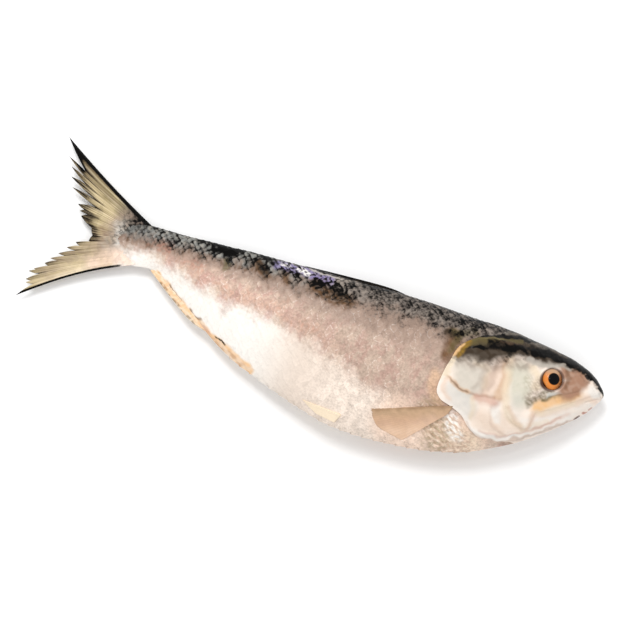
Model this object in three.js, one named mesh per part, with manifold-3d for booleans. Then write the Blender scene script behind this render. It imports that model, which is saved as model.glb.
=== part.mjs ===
// A whole raw fish of the shad kind, lying on its left flank on a flat surface.
// Millimetres: head to +X, back to +Y, right flank up, and the surface it lies on is z = 0.
// Plan places are measured from the tip of the snout, and the finished group is centred at its end.
import * as THREE from "three";
import { ParametricGeometry } from "three/addons/geometries/ParametricGeometry.js";
import { mergeVertices } from "three/addons/utils/BufferGeometryUtils.js";
import Module from "manifold-3d";

const wasm = await Module();
wasm.setup();

// ---- Driving dimensions ----

// The body's lines: each station is a chord from the belly's edge to the back's edge.
// half is the half thickness there, and middle is the height of the plane that halves the body.
const stations = [
  { back: [0.6, -3.0], belly: [0.6, -3.0], half: 0.0, middle: 15.0 }, // snout
  { back: [-4.8, 4.0], belly: [-2.6, -10.8], half: 5.6, middle: 15.6 },
  { back: [-13.8, 9.9], belly: [-10.5, -21.4], half: 10.2, middle: 16.8 },
  { back: [-29.5, 14.9], belly: [-23.0, -33.2], half: 14.6, middle: 18.2 },
  { back: [-50.0, 18.1], belly: [-38.5, -45.9], half: 18.4, middle: 19.8 },
  { back: [-75.0, 20.7], belly: [-56.5, -57.5], half: 21.4, middle: 21.2 },
  { back: [-103.0, 21.2], belly: [-79.0, -68.8], half: 23.3, middle: 21.9 },
  { back: [-132.0, 22.0], belly: [-106.5, -76.1], half: 24.2, middle: 22.3 },
  { back: [-162.0, 22.4], belly: [-140.0, -80.2], half: 24.0, middle: 22.2 },
  { back: [-194.0, 21.4], belly: [-179.0, -79.2], half: 22.4, middle: 21.1 },
  { back: [-228.0, 20.4], belly: [-219.0, -68.8], half: 18.8, middle: 18.6 },
  { back: [-262.0, 19.3], belly: [-258.5, -54.4], half: 14.2, middle: 15.8 },
  { back: [-295.0, 17.8], belly: [-294.0, -33.2], half: 9.6, middle: 13.2 },
  { back: [-322.0, 16.3], belly: [-323.5, -14.2], half: 6.2, middle: 11.2 },
  { back: [-340.0, 15.8], belly: [-343.0, -14.4], half: 3.3, middle: 9.8 },
  { back: [-352.5, 11.5], belly: [-354.5, -9.5], half: 1.5, middle: 9.2 },
  { back: [-360.0, 1.2], belly: [-360.0, 1.2], half: 0.0, middle: 9.0 }, // root of the tail fin
];
const bodyRings = 50;
const bodySides = 40;
const backRoundness = 0.5; // power of the section's curve: 0.5 is an ellipse
const keelRoundness = 0.72; // the belly closes to a keel
const shoulderShift = 0.12; // the widest place lies this share of half the depth above the middle

const rayThickness = { root: 2.2, tip: 1.0 }; // of the tail fin
const foldedThickness = 2.8; // a folded fin's rays lie bunched together
const plateDepth = 4.0; // how thick the relief plates are, most of it sunk in the flank

// The tail fin's rays end in pointed blades. Each blade from top to bottom: its tip, then the slit after it.
const tailBlades = [
  { tip: [-411.8, 59.4], slit: [-391.6, 37.9] },
  { tip: [-407.4, 46.2], slit: [-390.0, 34.0] },
  { tip: [-403.9, 39.9], slit: [-389.6, 30.4] },
  { tip: [-401.7, 32.9], slit: [-380.5, 22.3] },
  { tip: [-398.9, 26.1], slit: [-378.6, 17.4] },
  { tip: [-391.3, 15.9], slit: [-385.8, 13.3] },
  { tip: [-388.5, 11.5], slit: [-380.4, 11.3] },
  { tip: [-386.8, 8.5], slit: [-376.9, 2.5] },
  { tip: [-376.5, 1.1], slit: [-374.7, -2.3] }, // the bottom of the fork
  { tip: [-376.3, -6.5], slit: [-374.3, -7.0] },
  { tip: [-384.7, -10.2], slit: [-381.2, -12.0] },
  { tip: [-389.5, -15.8], slit: [-382.8, -16.1] },
  { tip: [-394.0, -21.5], slit: [-387.7, -21.8] },
  { tip: [-398.3, -26.5], slit: [-392.5, -26.4] },
  { tip: [-401.0, -30.9], slit: [-397.6, -32.2] },
  { tip: [-407.1, -37.0], slit: [-403.5, -37.0] },
  { tip: [-410.0, -39.6], slit: [-402.0, -39.4] },
  { tip: [-410.3, -45.7], slit: [-403.1, -45.1] },
  { tip: [-409.6, -47.9], slit: [-404.2, -47.5] },
  { tip: [-413.5, -58.8] },
];
const tailRoot = [[-334, 15.2], [-346, 9.0], [-350, 0.5], [-347, -7.5], [-338, -12.6]];
const tailEdgeBow = { top: 1.5, bottom: 4.2 }; // how far the outer rays bow in
const tailDroop = 2.6; // how far the blades' tips hang below the root
const tailRows = 5;

// The folded fins: root and margin are lines from the first ray to the last.
const dorsalFin = {
  root: [[-150, 19.0], [-178, 19.0], [-206, 18.2]],
  margin: [[-156, 25.2], [-186, 24.8], [-219, 22.6]],
};
const analFin = {
  root: [[-280, -36.0], [-302, -23.0], [-322, -10.5]],
  margin: [[-287, -42.2], [-308, -27.6], [-328, -13.6]],
};
const pectoralFin = {
  root: [[-98.5, -41.5], [-99.5, -44.8], [-101.0, -48.0]],
  margin: [[-152, -60.5], [-142, -69.5], [-122, -73.0]],
  rootRaise: 1.9,
  marginRaise: 0.9,
};
const pelvicFin = {
  root: [[-170, -70.5], [-171.5, -73.5], [-173, -76.5]],
  margin: [[-199, -68.5], [-194, -71.5], [-187, -74.8]],
  rootRaise: 1.2,
  marginRaise: 0.8,
};

// Plates of the head, each from a front line to a rear line that both run from the top down.
// The gill cover stands free of the flank at its rear edge, and the cheek's plate laps over its front.
const gillCover = {
  front: [[-66, 9], [-63, -6], [-59, -22], [-55, -36], [-49, -39], [-38, -32], [-20, -20]],
  rear: [[-92, 10.5], [-105, 0.5], [-110.8, -14], [-112.7, -33.6], [-96.5, -43.9], [-82.3, -53.8],
    [-66, -55.6], [-46, -47.6], [-22, -28.0]],
  frontRaise: 0.4,
  rearRaise: 1.7,
};
const cheekPlate = {
  front: [[-56, 9], [-49.5, -8], [-47.5, -20], [-46, -28], [-36, -27.5], [-19, -18.5]],
  rear: [[-76, 8], [-72, -10], [-68, -24], [-63.5, -40], [-54, -45.0], [-41, -37.5], [-20, -22.0]],
  frontRaise: 0.3,
  rearRaise: 1.4,
};
const jawPlate = {
  front: [[-7, -3.0], [-24, -11.5], [-36, -17.0], [-48.5, -22.5]],
  rear: [[-8, -9.0], [-24, -19.0], [-36, -25.4], [-46, -27.8]],
  frontRaise: 1.2,
  rearRaise: 0.7,
};
const plateFade = { share: 0.16, sunk: -0.9 }; // a plate's two ends sink into the head over this share

const mouthSlit = {
  front: [[0.2, -4.4], [-9, -9.6], [-20, -17.2], [-30, -22.9]],
  rear: [[0.2, -5.6], [-9, -11.4], [-20, -19.0], [-30, -24.3]],
  depth: 1.5,
};
const nostril = { at: [-14.1, 5.1], radius: 1.2 };

const eye = { at: [-36.9, -2.7], radius: 7.6, bulge: 4.6, sunk: 3.3, gap: 0.35 };
const orbit = { radius: 9.6, depth: 3.4, above: 2.1 }; // the shallow dish round the eyeball

// ---- The body's surface ----

const last = stations.length - 1;

// One line round the plan outline, tail to snout along the belly and back along the back.
// Its third coordinate is the half thickness, negative on the belly's side so that it runs through zero.
const outline = new THREE.CatmullRomCurve3(
  [
    ...stations.toReversed().map((s) => new THREE.Vector3(...s.belly, -s.half)),
    ...stations.slice(1).map((s) => new THREE.Vector3(...s.back, s.half)),
  ],
  false,
  "catmullrom",
);
const middlePlane = new THREE.CatmullRomCurve3(
  stations.map((s, i) => new THREE.Vector3(i, s.middle, 0)),
  false,
  "catmullrom",
);

const backEdge = (station) => outline.getPoint((last + station) / (2 * last));
const bellyEdge = (station) => outline.getPoint((last - station) / (2 * last));
const middleHeight = (station) => middlePlane.getPoint(station / last).y;

// The share of the half thickness at height h of a section, from -1 at the keel to 1 at the back.
function sectionShare(h) {
  const shifted = h - shoulderShift * (1 - h * h);
  const power = THREE.MathUtils.lerp(keelRoundness, backRoundness, THREE.MathUtils.smoothstep(h, -0.6, 0.6));
  return Math.pow(Math.max(0, 1 - shifted * shifted), power);
}

// A point of the skin: side is 1 on the upper flank and -1 on the lower, and raise lifts it off the skin.
// Where the body would sink into the surface it lies on, it is pressed flat.
function skinPoint(station, h, side, raise = 0) {
  const back = backEdge(station);
  const belly = bellyEdge(station);
  const point = belly.clone().lerp(back, (h + 1) / 2);
  const reach = Math.abs(back.z) * sectionShare(h) + raise;
  point.z = Math.max(0, middleHeight(station) + side * reach);
  return point;
}

// The station and section height of a place in plan, by halving the span of stations.
function stationOf(x, y) {
  let low = 0.02;
  let high = last - 0.02;
  for (let step = 0; step < 40; step += 1) {
    const middle = (low + high) / 2;
    const back = backEdge(middle);
    const belly = bellyEdge(middle);
    const ahead = (back.x - belly.x) * (y - belly.y) - (back.y - belly.y) * (x - belly.x);
    if (ahead > 0) low = middle;
    else high = middle;
  }
  const back = backEdge(low);
  const belly = bellyEdge(low);
  const chord = new THREE.Vector2(back.x - belly.x, back.y - belly.y);
  const share = ((x - belly.x) * chord.x + (y - belly.y) * chord.y) / chord.lengthSq();
  return [low, THREE.MathUtils.clamp(2 * share - 1, -1, 1)];
}

const skinAbove = (x, y, side, raise = 0) => {
  const height = skinPoint(...stationOf(x, y), side, raise).z;
  return new THREE.Vector3(x, y, height);
};

// ---- Solids from surfaces ----

// Merges a closed geometry's shared vertices, drops collapsed faces and faces it outwards.
function toSolid(geometry) {
  const bare = geometry.clone();
  bare.deleteAttribute("normal");
  bare.deleteAttribute("uv");
  const merged = mergeVertices(bare, 1e-3);
  const corners = merged.index.array;
  const kept = [];
  for (let i = 0; i < corners.length; i += 3) {
    const [a, b, c] = corners.slice(i, i + 3);
    if (a !== b && b !== c && c !== a) kept.push([a, b, c]);
  }
  const build = (faces) =>
    new wasm.Manifold(
      new wasm.Mesh({
        numProp: 3,
        vertProperties: merged.attributes.position.array,
        triVerts: new Uint32Array(faces.flat()),
      }),
    );
  const solid = build(kept);
  return solid.volume() > 0 ? solid : build(kept.map((face) => face.toReversed()));
}

function toMesh(solid, name, material) {
  const { vertProperties, triVerts } = solid.getMesh();
  const geometry = new THREE.BufferGeometry();
  geometry.setAttribute("position", new THREE.BufferAttribute(vertProperties, 3));
  geometry.setIndex(new THREE.BufferAttribute(triVerts, 1));
  geometry.computeVertexNormals();
  const mesh = new THREE.Mesh(geometry, material);
  mesh.name = name;
  return mesh;
}

// A thin solid round a sheet: two faces that part by the thickness and meet along the sheet's rim.
// The sheet is a function of two shares, across from first to last ray and out from root to margin,
// and so is the thickness of the second share.
function leaf(sheet, thickness, columns, rows) {
  const nearRim = (share) => share < 1e-6 || share > 1 - 1e-6;
  const place = (around, out, target) => {
    const across = 1 - Math.abs(2 * around - 1);
    target.copy(sheet(across, out));
    const parting = nearRim(across) || nearRim(out) ? 0 : thickness(out) / 2;
    target.z = Math.max(0, target.z + (around < 0.5 ? parting : -parting));
  };
  return toSolid(new ParametricGeometry(place, 2 * columns, rows));
}

// Steps that crowd towards both ends of a share, for a narrow rim.
const crowded = (share) => (1 - Math.cos(Math.PI * share)) / 2;

const planLine = (points) => new THREE.CatmullRomCurve3(points.map(([x, y]) => new THREE.Vector3(x, y, 0)));

// A place on the straight runs between a list's points, at a share of the list.
function alongList(points, share) {
  const run = Math.min(Math.floor(share * (points.length - 1)), points.length - 2);
  const [from, to] = [points[run], points[run + 1]].map(([x, y]) => new THREE.Vector3(x, y, 0));
  return from.lerp(to, share * (points.length - 1) - run);
}

// ---- Body and fins ----

function bodySolid() {
  const place = (around, along, target) => {
    const h = -Math.cos(2 * Math.PI * around);
    target.copy(skinPoint(along * last, h, around < 0.5 ? 1 : -1));
  };
  return toSolid(new ParametricGeometry(place, bodySides, bodyRings));
}

// The tail fin: straight rays from the root to the margin, the outer ones bowed in a little.
function tailFin() {
  const root = planLine(tailRoot);
  const margin = tailBlades.flatMap(({ tip, slit }) => (slit ? [tip, slit] : [tip]));
  const sheet = (across, out) => {
    const point = root.getPoint(across).lerp(alongList(margin, across), out);
    const bow = across < 0.5 ? -tailEdgeBow.top : tailEdgeBow.bottom;
    point.y += bow * (1 - 2 * across) ** 4 * Math.sin(Math.PI * out);
    point.z = middleHeight(last - 1) - tailDroop * out ** 1.5 + 0.5 * Math.sin(9 * across) * out;
    return point;
  };
  const thickness = (out) => THREE.MathUtils.lerp(rayThickness.root, rayThickness.tip, out);
  return leaf(sheet, thickness, margin.length - 1, tailRows);
}

// A fin in the body's middle plane, folded back along its edge.
function middleFin({ root, margin }) {
  const rootLine = planLine(root);
  const marginLine = planLine(margin);
  const sheet = (across, out) => {
    const spread = crowded(across);
    const point = rootLine.getPoint(spread).lerp(marginLine.getPoint(spread), crowded(out));
    point.z = middleHeight(stationOf(point.x, Math.min(15, point.y))[0]);
    return point;
  };
  return leaf(sheet, () => foldedThickness, 12, 4);
}

// A fin that lies against a flank: a low raised fan.
function pairedFin({ root, margin, rootRaise, marginRaise }, side) {
  const rootLine = planLine(root);
  const marginLine = planLine(margin);
  const sheet = (across, out) => {
    const spread = crowded(across);
    const plan = rootLine.getPoint(spread).lerp(marginLine.getPoint(spread), crowded(out));
    const raise = THREE.MathUtils.lerp(rootRaise, marginRaise, out);
    return skinAbove(plan.x, plan.y, side, raise - foldedThickness / 2);
  };
  return leaf(sheet, () => foldedThickness, 8, 6);
}

// A plate of the head: it follows the flank and is raised more at its rear edge than at its front.
function headPlate({ front, rear, frontRaise, rearRaise }, side, columns, rows) {
  const frontLine = planLine(front);
  const rearLine = planLine(rear);
  const sheet = (across, out) => {
    const spread = crowded(across);
    const plan = frontLine.getPoint(out).lerp(rearLine.getPoint(out), spread);
    const shown = THREE.MathUtils.smoothstep(Math.min(out, 1 - out), 0, plateFade.share);
    const full = THREE.MathUtils.lerp(frontRaise, rearRaise, Math.sqrt(spread));
    const raise = THREE.MathUtils.lerp(plateFade.sunk, full, shown);
    return skinAbove(plan.x, plan.y, side, raise - plateDepth / 2);
  };
  return leaf(sheet, () => plateDepth, columns, rows);
}

// The mouth's slit and the nostril's pit, to be cut from a flank of the head.
function mouthCut({ front, rear, depth }, side) {
  const frontLine = planLine(front);
  const rearLine = planLine(rear);
  const sheet = (across, out) => {
    const plan = frontLine.getPoint(out).lerp(rearLine.getPoint(out), across);
    return skinAbove(plan.x, plan.y, side);
  };
  return leaf(sheet, () => 2 * depth, 2, 8);
}

function nostrilCut({ at, radius }, side) {
  const pit = new THREE.SphereGeometry(radius, 10, 6);
  pit.translate(...skinAbove(...at, side));
  return toSolid(pit);
}

// ---- Eyes ----

// A flattened ball set square to the skin at the eye, raised or sunk along the skin's normal.
function eyeBall(side, radius, depth, lift) {
  const [x, y] = eye.at;
  const here = skinAbove(x, y, side);
  const ahead = skinAbove(x + 1, y, side).sub(here);
  const above = skinAbove(x, y + 1, side).sub(here);
  const normal = ahead.cross(above).normalize().multiplyScalar(side);
  const ball = new THREE.SphereGeometry(radius, 24, 10);
  ball.rotateX(Math.PI / 2);
  ball.scale(1, 1, depth / radius);
  ball.applyQuaternion(new THREE.Quaternion().setFromUnitVectors(new THREE.Vector3(0, 0, 1), normal));
  ball.translate(...here.addScaledVector(normal, lift));
  return toSolid(ball);
}

const eyeSolid = (side) => eyeBall(side, eye.radius, eye.bulge, -eye.sunk);
const socketCut = (side) =>
  eyeBall(side, eye.radius + eye.gap, eye.bulge + eye.gap, -eye.sunk).add(
    eyeBall(side, orbit.radius, orbit.depth, orbit.above),
  );

// ---- The fish ----

const sides = [
  [1, "right"],
  [-1, "left"],
];
let fish = bodySolid().add(tailFin()).add(middleFin(dorsalFin)).add(middleFin(analFin));
for (const [side] of sides) {
  fish = fish
    .add(headPlate(gillCover, side, 6, 20))
    .add(headPlate(cheekPlate, side, 5, 16))
    .add(headPlate(jawPlate, side, 3, 9))
    .add(pairedFin(pectoralFin, side))
    .add(pairedFin(pelvicFin, side))
    .subtract(mouthCut(mouthSlit, side))
    .subtract(nostrilCut(nostril, side))
    .subtract(socketCut(side));
}

const skin = new THREE.MeshStandardMaterial({ color: "#b9b2a6", roughness: 0.35, metalness: 0.15 });
const eyeJelly = new THREE.MeshStandardMaterial({ color: "#b87a34", roughness: 0.1, metalness: 0.0 });

const laidFish = new THREE.Group();
laidFish.add(toMesh(fish, "fish", skin));
for (const [side, name] of sides) laidFish.add(toMesh(eyeSolid(side), `eye_${name}`, eyeJelly));

// The origin stands under the middle of the whole fish.
const middle = new THREE.Box3().setFromObject(laidFish).getCenter(new THREE.Vector3());
laidFish.position.set(-middle.x, -middle.y, 0);

const part = new THREE.Group();
part.add(laidFish);

export default part;
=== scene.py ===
import bpy
import numpy as np
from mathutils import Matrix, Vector


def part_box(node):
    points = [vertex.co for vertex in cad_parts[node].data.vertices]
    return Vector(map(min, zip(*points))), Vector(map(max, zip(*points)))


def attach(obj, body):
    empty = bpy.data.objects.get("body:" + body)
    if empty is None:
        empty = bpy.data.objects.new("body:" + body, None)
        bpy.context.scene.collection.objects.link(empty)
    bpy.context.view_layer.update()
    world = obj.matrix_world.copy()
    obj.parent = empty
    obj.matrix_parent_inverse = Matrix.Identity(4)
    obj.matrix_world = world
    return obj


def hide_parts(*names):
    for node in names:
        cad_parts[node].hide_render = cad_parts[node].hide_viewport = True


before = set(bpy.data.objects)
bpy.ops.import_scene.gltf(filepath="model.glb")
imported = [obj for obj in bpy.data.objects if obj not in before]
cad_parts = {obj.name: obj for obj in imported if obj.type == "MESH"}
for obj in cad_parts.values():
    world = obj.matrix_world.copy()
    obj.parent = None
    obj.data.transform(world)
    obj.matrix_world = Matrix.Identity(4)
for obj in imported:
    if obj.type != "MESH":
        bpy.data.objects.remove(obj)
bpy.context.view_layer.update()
print("frame loaded:", sorted(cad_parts))

mm = 0.001
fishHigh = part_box("fish")[1]
snoutReach = 0.6  # plan x of the foremost point of the body
upperTip = 59.4  # plan y of the tail's upper tip
planToFrame = np.array([fishHigh.x / mm - snoutReach, fishHigh.y / mm - upperTip, 0.0])


def mix(low, high, share):
    # low plus the share of the way to high
    return low + (high - low) * share


def smoothStep(value, low, high):
    # 3t² - 2t³ of the share t of the way from low to high
    share = np.clip((value - low) / (high - low), 0, 1)
    return share * share * (3 - 2 * share)


def bump(value, middle, reach):
    # a bell: e to the minus square of the distance in reaches
    return np.exp(-(((value - middle) / reach) ** 2))


def smoothLine(points, place):
    # Catmull-Rom line: a cubic between two points whose slopes are half the step between their neighbours
    points = np.asarray(points, float)
    ends = np.vstack([2 * points[0] - points[1], points, 2 * points[-1] - points[-2]])
    start = np.clip(np.floor(place).astype(int), 0, len(points) - 2)
    w = (place - start)[..., None]
    before, here, there, after = ends[start], ends[start + 1], ends[start + 2], ends[start + 3]
    square = 2 * before - 5 * here + 4 * there - after
    cube = 3 * here - before - 3 * there + after
    return 0.5 * (2 * here + (there - before) * w + square * w**2 + cube * w**3)


def drawnLine(points, count=14):
    # the smooth line through the points, as that many short straight runs
    return smoothLine(points, np.linspace(0, len(points) - 1, count + 1))


def lineField(x, y, line):
    # signed distance to the nearest run of the line, positive on its left, and the share of the line there
    nearest = np.full(x.shape, 1e9)
    offset = np.zeros(x.shape)
    share = np.zeros(x.shape)
    for i in range(len(line) - 1):
        startX, startY = line[i]
        stepX, stepY = line[i + 1] - line[i]
        along = ((x - startX) * stepX + (y - startY) * stepY) / (stepX**2 + stepY**2)
        along = np.clip(along, 0, 1)
        gapX = x - startX - along * stepX
        gapY = y - startY - along * stepY
        gap = np.hypot(gapX, gapY)
        closer = gap < nearest
        left = np.where(stepX * gapY - stepY * gapX >= 0, 1, -1)
        nearest = np.where(closer, gap, nearest)
        offset = np.where(closer, gap * left, offset)
        share = np.where(closer, (i + along) / (len(line) - 1), share)
    return offset, share


noiseWaves = 24
noiseReach = 5.9  # what the waves' sum is divided by, to bring it roughly between -1 and 1


def softNoise(x, y, size, seed):
    # a sum of sine waves in random directions with lengths near the size
    draw = np.random.default_rng(seed)
    total = np.zeros(np.shape(x))
    for angle, stretch, phase in draw.uniform(0, 1, (noiseWaves, 3)):
        length = size * mix(0.6, 1.8, stretch)
        turn = 2 * np.pi * angle
        total += np.sin(2 * np.pi * ((x * np.cos(turn) + y * np.sin(turn)) / length + phase))
    return total / noiseReach


bodyForm = {
    # plan chords from the belly's edge to the back's edge, half thickness, height of the middle plane
    "backX": [0.6, -4.8, -13.8, -29.5, -50, -75, -103, -132, -162, -194, -228, -262, -295, -322, -340,
              -352.5, -360],
    "backY": [-3, 4, 9.9, 14.9, 18.1, 20.7, 21.2, 22, 22.4, 21.4, 20.4, 19.3, 17.8, 16.3, 15.8, 11.5, 1.2],
    "bellyX": [0.6, -2.6, -10.5, -23, -38.5, -56.5, -79, -106.5, -140, -179, -219, -258.5, -294, -323.5,
               -343, -354.5, -360],
    "bellyY": [-3, -10.8, -21.4, -33.2, -45.9, -57.5, -68.8, -76.1, -80.2, -79.2, -68.8, -54.4, -33.2, -14.2,
               -14.4, -9.5, 1.2],
    "half": [0, 5.6, 10.2, 14.6, 18.4, 21.4, 23.3, 24.2, 24, 22.4, 18.8, 14.2, 9.6, 6.2, 3.3, 1.5, 0],
    "middle": [15, 15.6, 16.8, 18.2, 19.8, 21.2, 21.9, 22.3, 22.2, 21.1, 18.6, 15.8, 13.2, 11.2, 9.8, 9.2,
               9],
    "backRoundness": 0.5,
    "keelRoundness": 0.72,
    "shoulderShift": 0.12,
}
lastStation = len(bodyForm["half"]) - 1
backLine = np.stack([bodyForm["backX"], bodyForm["backY"], bodyForm["half"]], 1)
bellyLine = np.stack([bodyForm["bellyX"], bodyForm["bellyY"], -np.array(bodyForm["half"])], 1)
outline = np.vstack([bellyLine[::-1], backLine[1:]])
middleLine = np.array(bodyForm["middle"])[:, None]
hiddenCore = np.array([-62.0, -20.0, 20.0])  # the point inside the body to which head and trunk both close


def backEdge(station):
    # the outline's point so many stations from the snout along the back, with half the thickness there
    return smoothLine(outline, lastStation + station)


def bellyEdge(station):
    # the same along the belly
    return smoothLine(outline, lastStation - station)


def middleHeight(station):
    # the height of the body's middle plane
    return smoothLine(middleLine, station)[..., 0]


def bodySkin(station, height, side):
    # a chord's point at height -1 keel to 1 back, and the middle plane plus or minus
    # half (1 - shifted²)^roundness; what would sink into the surface is pressed flat
    back = backEdge(station)
    belly = bellyEdge(station)
    plan = belly + (back - belly) * ((height + 1) / 2)[..., None]
    shifted = height - bodyForm["shoulderShift"] * (1 - height**2)
    power = mix(bodyForm["keelRoundness"], bodyForm["backRoundness"], smoothStep(height, -0.6, 0.6))
    share = np.maximum(1 - shifted**2, 0) ** power
    lift = middleHeight(station) + side * np.abs(back[..., 2]) * share
    return np.stack([plan[..., 0], plan[..., 1], np.maximum(lift, 0)], -1)


def bodyPlace(x, y):
    # the station whose chord passes through a plan point, by halving, and the height on that chord
    x = np.asarray(x, float)
    y = np.asarray(y, float)
    low = np.full(x.shape, 0.02)
    high = np.full(x.shape, lastStation - 0.02)
    for _ in range(40):
        middle = (low + high) / 2
        belly = bellyEdge(middle)
        chord = backEdge(middle) - belly
        ahead = chord[..., 0] * (y - belly[..., 1]) - chord[..., 1] * (x - belly[..., 0]) > 0
        low = np.where(ahead, middle, low)
        high = np.where(ahead, high, middle)
    belly = bellyEdge(low)
    chord = (backEdge(low) - belly)[..., :2]
    along = (x - belly[..., 0]) * chord[..., 0] + (y - belly[..., 1]) * chord[..., 1]
    return low, np.clip(2 * along / (chord**2).sum(-1) - 1, -1, 1)


def skinAt(x, y, side):
    # the flank's point over a plan place
    station, height = bodyPlace(x, y)
    return bodySkin(station, height, side)


def pressFlat(places):
    # nothing sinks into the surface that the fish lies on
    places[..., 2] = np.maximum(places[..., 2], 0)
    return places


def gridNormals(places):
    # the cross product of a grid's two directions, which point out when its columns run round the body
    down = np.gradient(places, axis=0)
    around = (np.roll(places, -1, 1) - np.roll(places, 1, 1)) / 2
    normal = np.cross(down, around)
    normal /= np.maximum(np.linalg.norm(normal, axis=-1, keepdims=True), 1e-9)
    outward = places - places.mean(1, keepdims=True)
    return normal * (1 if (normal * outward).sum() > 0 else -1)


def meshFrom(name, places, quads, triangles, attributes):
    # one mesh from whole arrays, its faces turned so that the volume inside them is positive
    corners = [np.asarray(f, np.int64).reshape(-1, n) for f, n in ((quads, 4), (triangles, 3))]
    split = np.vstack([corners[0][:, [0, 1, 2]], corners[0][:, [0, 2, 3]], corners[1]])
    a, b, c = (places[split[:, k]] for k in range(3))
    if (a * np.cross(b, c)).sum() < 0:
        corners = [f[:, ::-1] for f in corners]
    sizes = np.concatenate([np.full(len(f), f.shape[1]) for f in corners])
    mesh = bpy.data.meshes.new(name)
    mesh.vertices.add(len(places))
    mesh.vertices.foreach_set("co", ((places + planToFrame) * mm).ravel())
    mesh.loops.add(int(sizes.sum()))
    mesh.loops.foreach_set("vertex_index", np.concatenate([f.ravel() for f in corners]).astype(np.int32))
    mesh.polygons.add(len(sizes))
    mesh.polygons.foreach_set("loop_start", (np.cumsum(sizes) - sizes).astype(np.int32))
    mesh.polygons.foreach_set("use_smooth", np.ones(len(sizes), bool))
    mesh.update()
    mesh.validate()
    for label, values in attributes.items():
        layer = mesh.attributes.new(label, "FLOAT_VECTOR", "POINT")
        layer.data.foreach_set("vector", np.asarray(values, np.float32).ravel())
    return mesh


def ringMesh(name, rings, poles, attributes, poleAttributes):
    # closed rings one after another, with a fan of triangles to a single point at each end
    rows, columns = rings.shape[:2]
    row, column = np.meshgrid(np.arange(rows - 1) * columns, np.arange(columns), indexing="ij")
    after = (column + 1) % columns
    corners = [row + column, row + after, row + columns + after, row + columns + column]
    quads = np.stack(corners, -1).reshape(-1, 4)
    first = np.arange(columns)
    second = (first + 1) % columns
    end = (rows - 1) * columns
    front = np.stack([second, first, np.full(columns, rows * columns)], -1)
    rear = np.stack([end + first, end + second, np.full(columns, rows * columns + 1)], -1)
    places = np.vstack([rings.reshape(-1, 3), poles])
    values = {}
    for label, grid in attributes.items():
        values[label] = np.vstack([grid.reshape(-1, 3), poleAttributes[label]])
    return meshFrom(name, places, quads, np.vstack([front, rear]), values)


def leafMesh(name, top, under, attributes):
    # two grids that share their rim: the upper face and the lower face of a fin
    rows, columns = top.shape[:2]
    upper = np.arange(rows * columns).reshape(rows, columns)
    lower = upper.copy()
    inner = (rows - 2) * (columns - 2)
    lower[1:-1, 1:-1] = rows * columns + np.arange(inner).reshape(rows - 2, columns - 2)
    quads = [
        np.stack([g[:-1, :-1], g[:-1, 1:], g[1:, 1:], g[1:, :-1]], -1).reshape(-1, 4)[:, ::turn]
        for g, turn in ((upper, 1), (lower, -1))
    ]
    places = np.vstack([top.reshape(-1, 3), under[1:-1, 1:-1].reshape(-1, 3)])
    values = {}
    for label, grid in attributes.items():
        values[label] = np.vstack([grid.reshape(-1, 3), grid[1:-1, 1:-1].reshape(-1, 3)])
    return meshFrom(name, places, np.vstack(quads), np.zeros((0, 3)), values)


def addPiece(name, mesh, material, slotName, *nodes):
    # a piece that rides on the root, stands for its nodes and takes the given material; the slot name is not
    # used
    piece = bpy.data.objects.new(name, mesh)
    bpy.context.scene.collection.objects.link(piece)
    mesh.materials.append(material)
    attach(piece, "root")
    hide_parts(*nodes)
    print("piece", name, len(mesh.vertices), "points")
    return piece


def hexToLinear(code):
    # sRGB hex to linear light: ((c + 0.055) / 1.055)^2.4, or c / 12.92 near black
    parts = np.array([int(code[i : i + 2], 16) / 255 for i in (1, 3, 5)])
    linear = np.where(parts > 0.04045, ((parts + 0.055) / 1.055) ** 2.4, parts / 12.92)
    return (*linear.tolist(), 1.0)


def addNode(tree, kind, settings=None, links=None):
    # a shader node with its settings by property or socket and its links by socket; it gives its outputs
    node = tree.nodes.new("ShaderNode" + kind)
    for label, value in (settings or {}).items():
        if isinstance(label, str) and hasattr(node, label):
            setattr(node, label, value)
        else:
            node.inputs[label].default_value = value
    for label, source in (links or {}).items():
        tree.links.new(source, node.inputs[label])
    return node.outputs


def newMaterial(name):
    # a material whose node tree is still empty
    material = bpy.data.materials.new(name)
    material.use_nodes = True
    material.node_tree.nodes.clear()
    return material, material.node_tree


colours = {
    # the skin and fins, from the silver-white of the belly to the black pigment of the back
    "white": "#f4efe8",
    "ivory": "#fbebdd",
    "shell": "#e6d6c8",
    "cream": "#ecdac0",
    "pearl": "#d2cabd",
    "paleBlue": "#d8d6d0",
    "celadon": "#cfcebb",
    "petal": "#e9cdb9",
    "peach": "#d3ae8d",
    "apricot": "#f2c490",
    "sand": "#cab4a2",
    "rose": "#be9b8e",
    "blush": "#d3a18d",
    "salmon": "#bf8775",
    "tan": "#b5937d",
    "dun": "#a58e80",
    "taupe": "#8d796c",
    "slate": "#888884",
    "lilac": "#8479a8",
    "mist": "#aca69c",
    "gold": "#96732c",
    "moss": "#8d8059",
    "olive": "#645b3a",
    "umber": "#6a4c33",
    "bark": "#40352a",
    "mauve": "#aa826b",
    "maroon": "#451a0e",
    "membrane": "#b3a37c",
    "straw": "#d6c49c",
    "ink": "#080706",
    "highlightTick": "#fffaf2",
# painted highlight on the rear edges of some scales
}
scaledLook = {
    "speckSize": 1.5,  # mm across a pigment speck
    "mottleSize": 5.0,  # mm across a soft blotch
    "specks": 0.9,  # how far the specks and the blotches lighten and darken the colour
    "blotches": 0.4,
    "inkSpecks": 1.2,  # how far they scatter the black pigment
    "inkBlotches": 1.2,
    "inkSoft": 0.85,
    "brown": 0.25,  # how brown the pigment is where it thins out
    "roughness": 0.34,
    "specular": 0.04,
    "coat": 0.08,
    "coatRoughness": 0.1,
}
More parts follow.
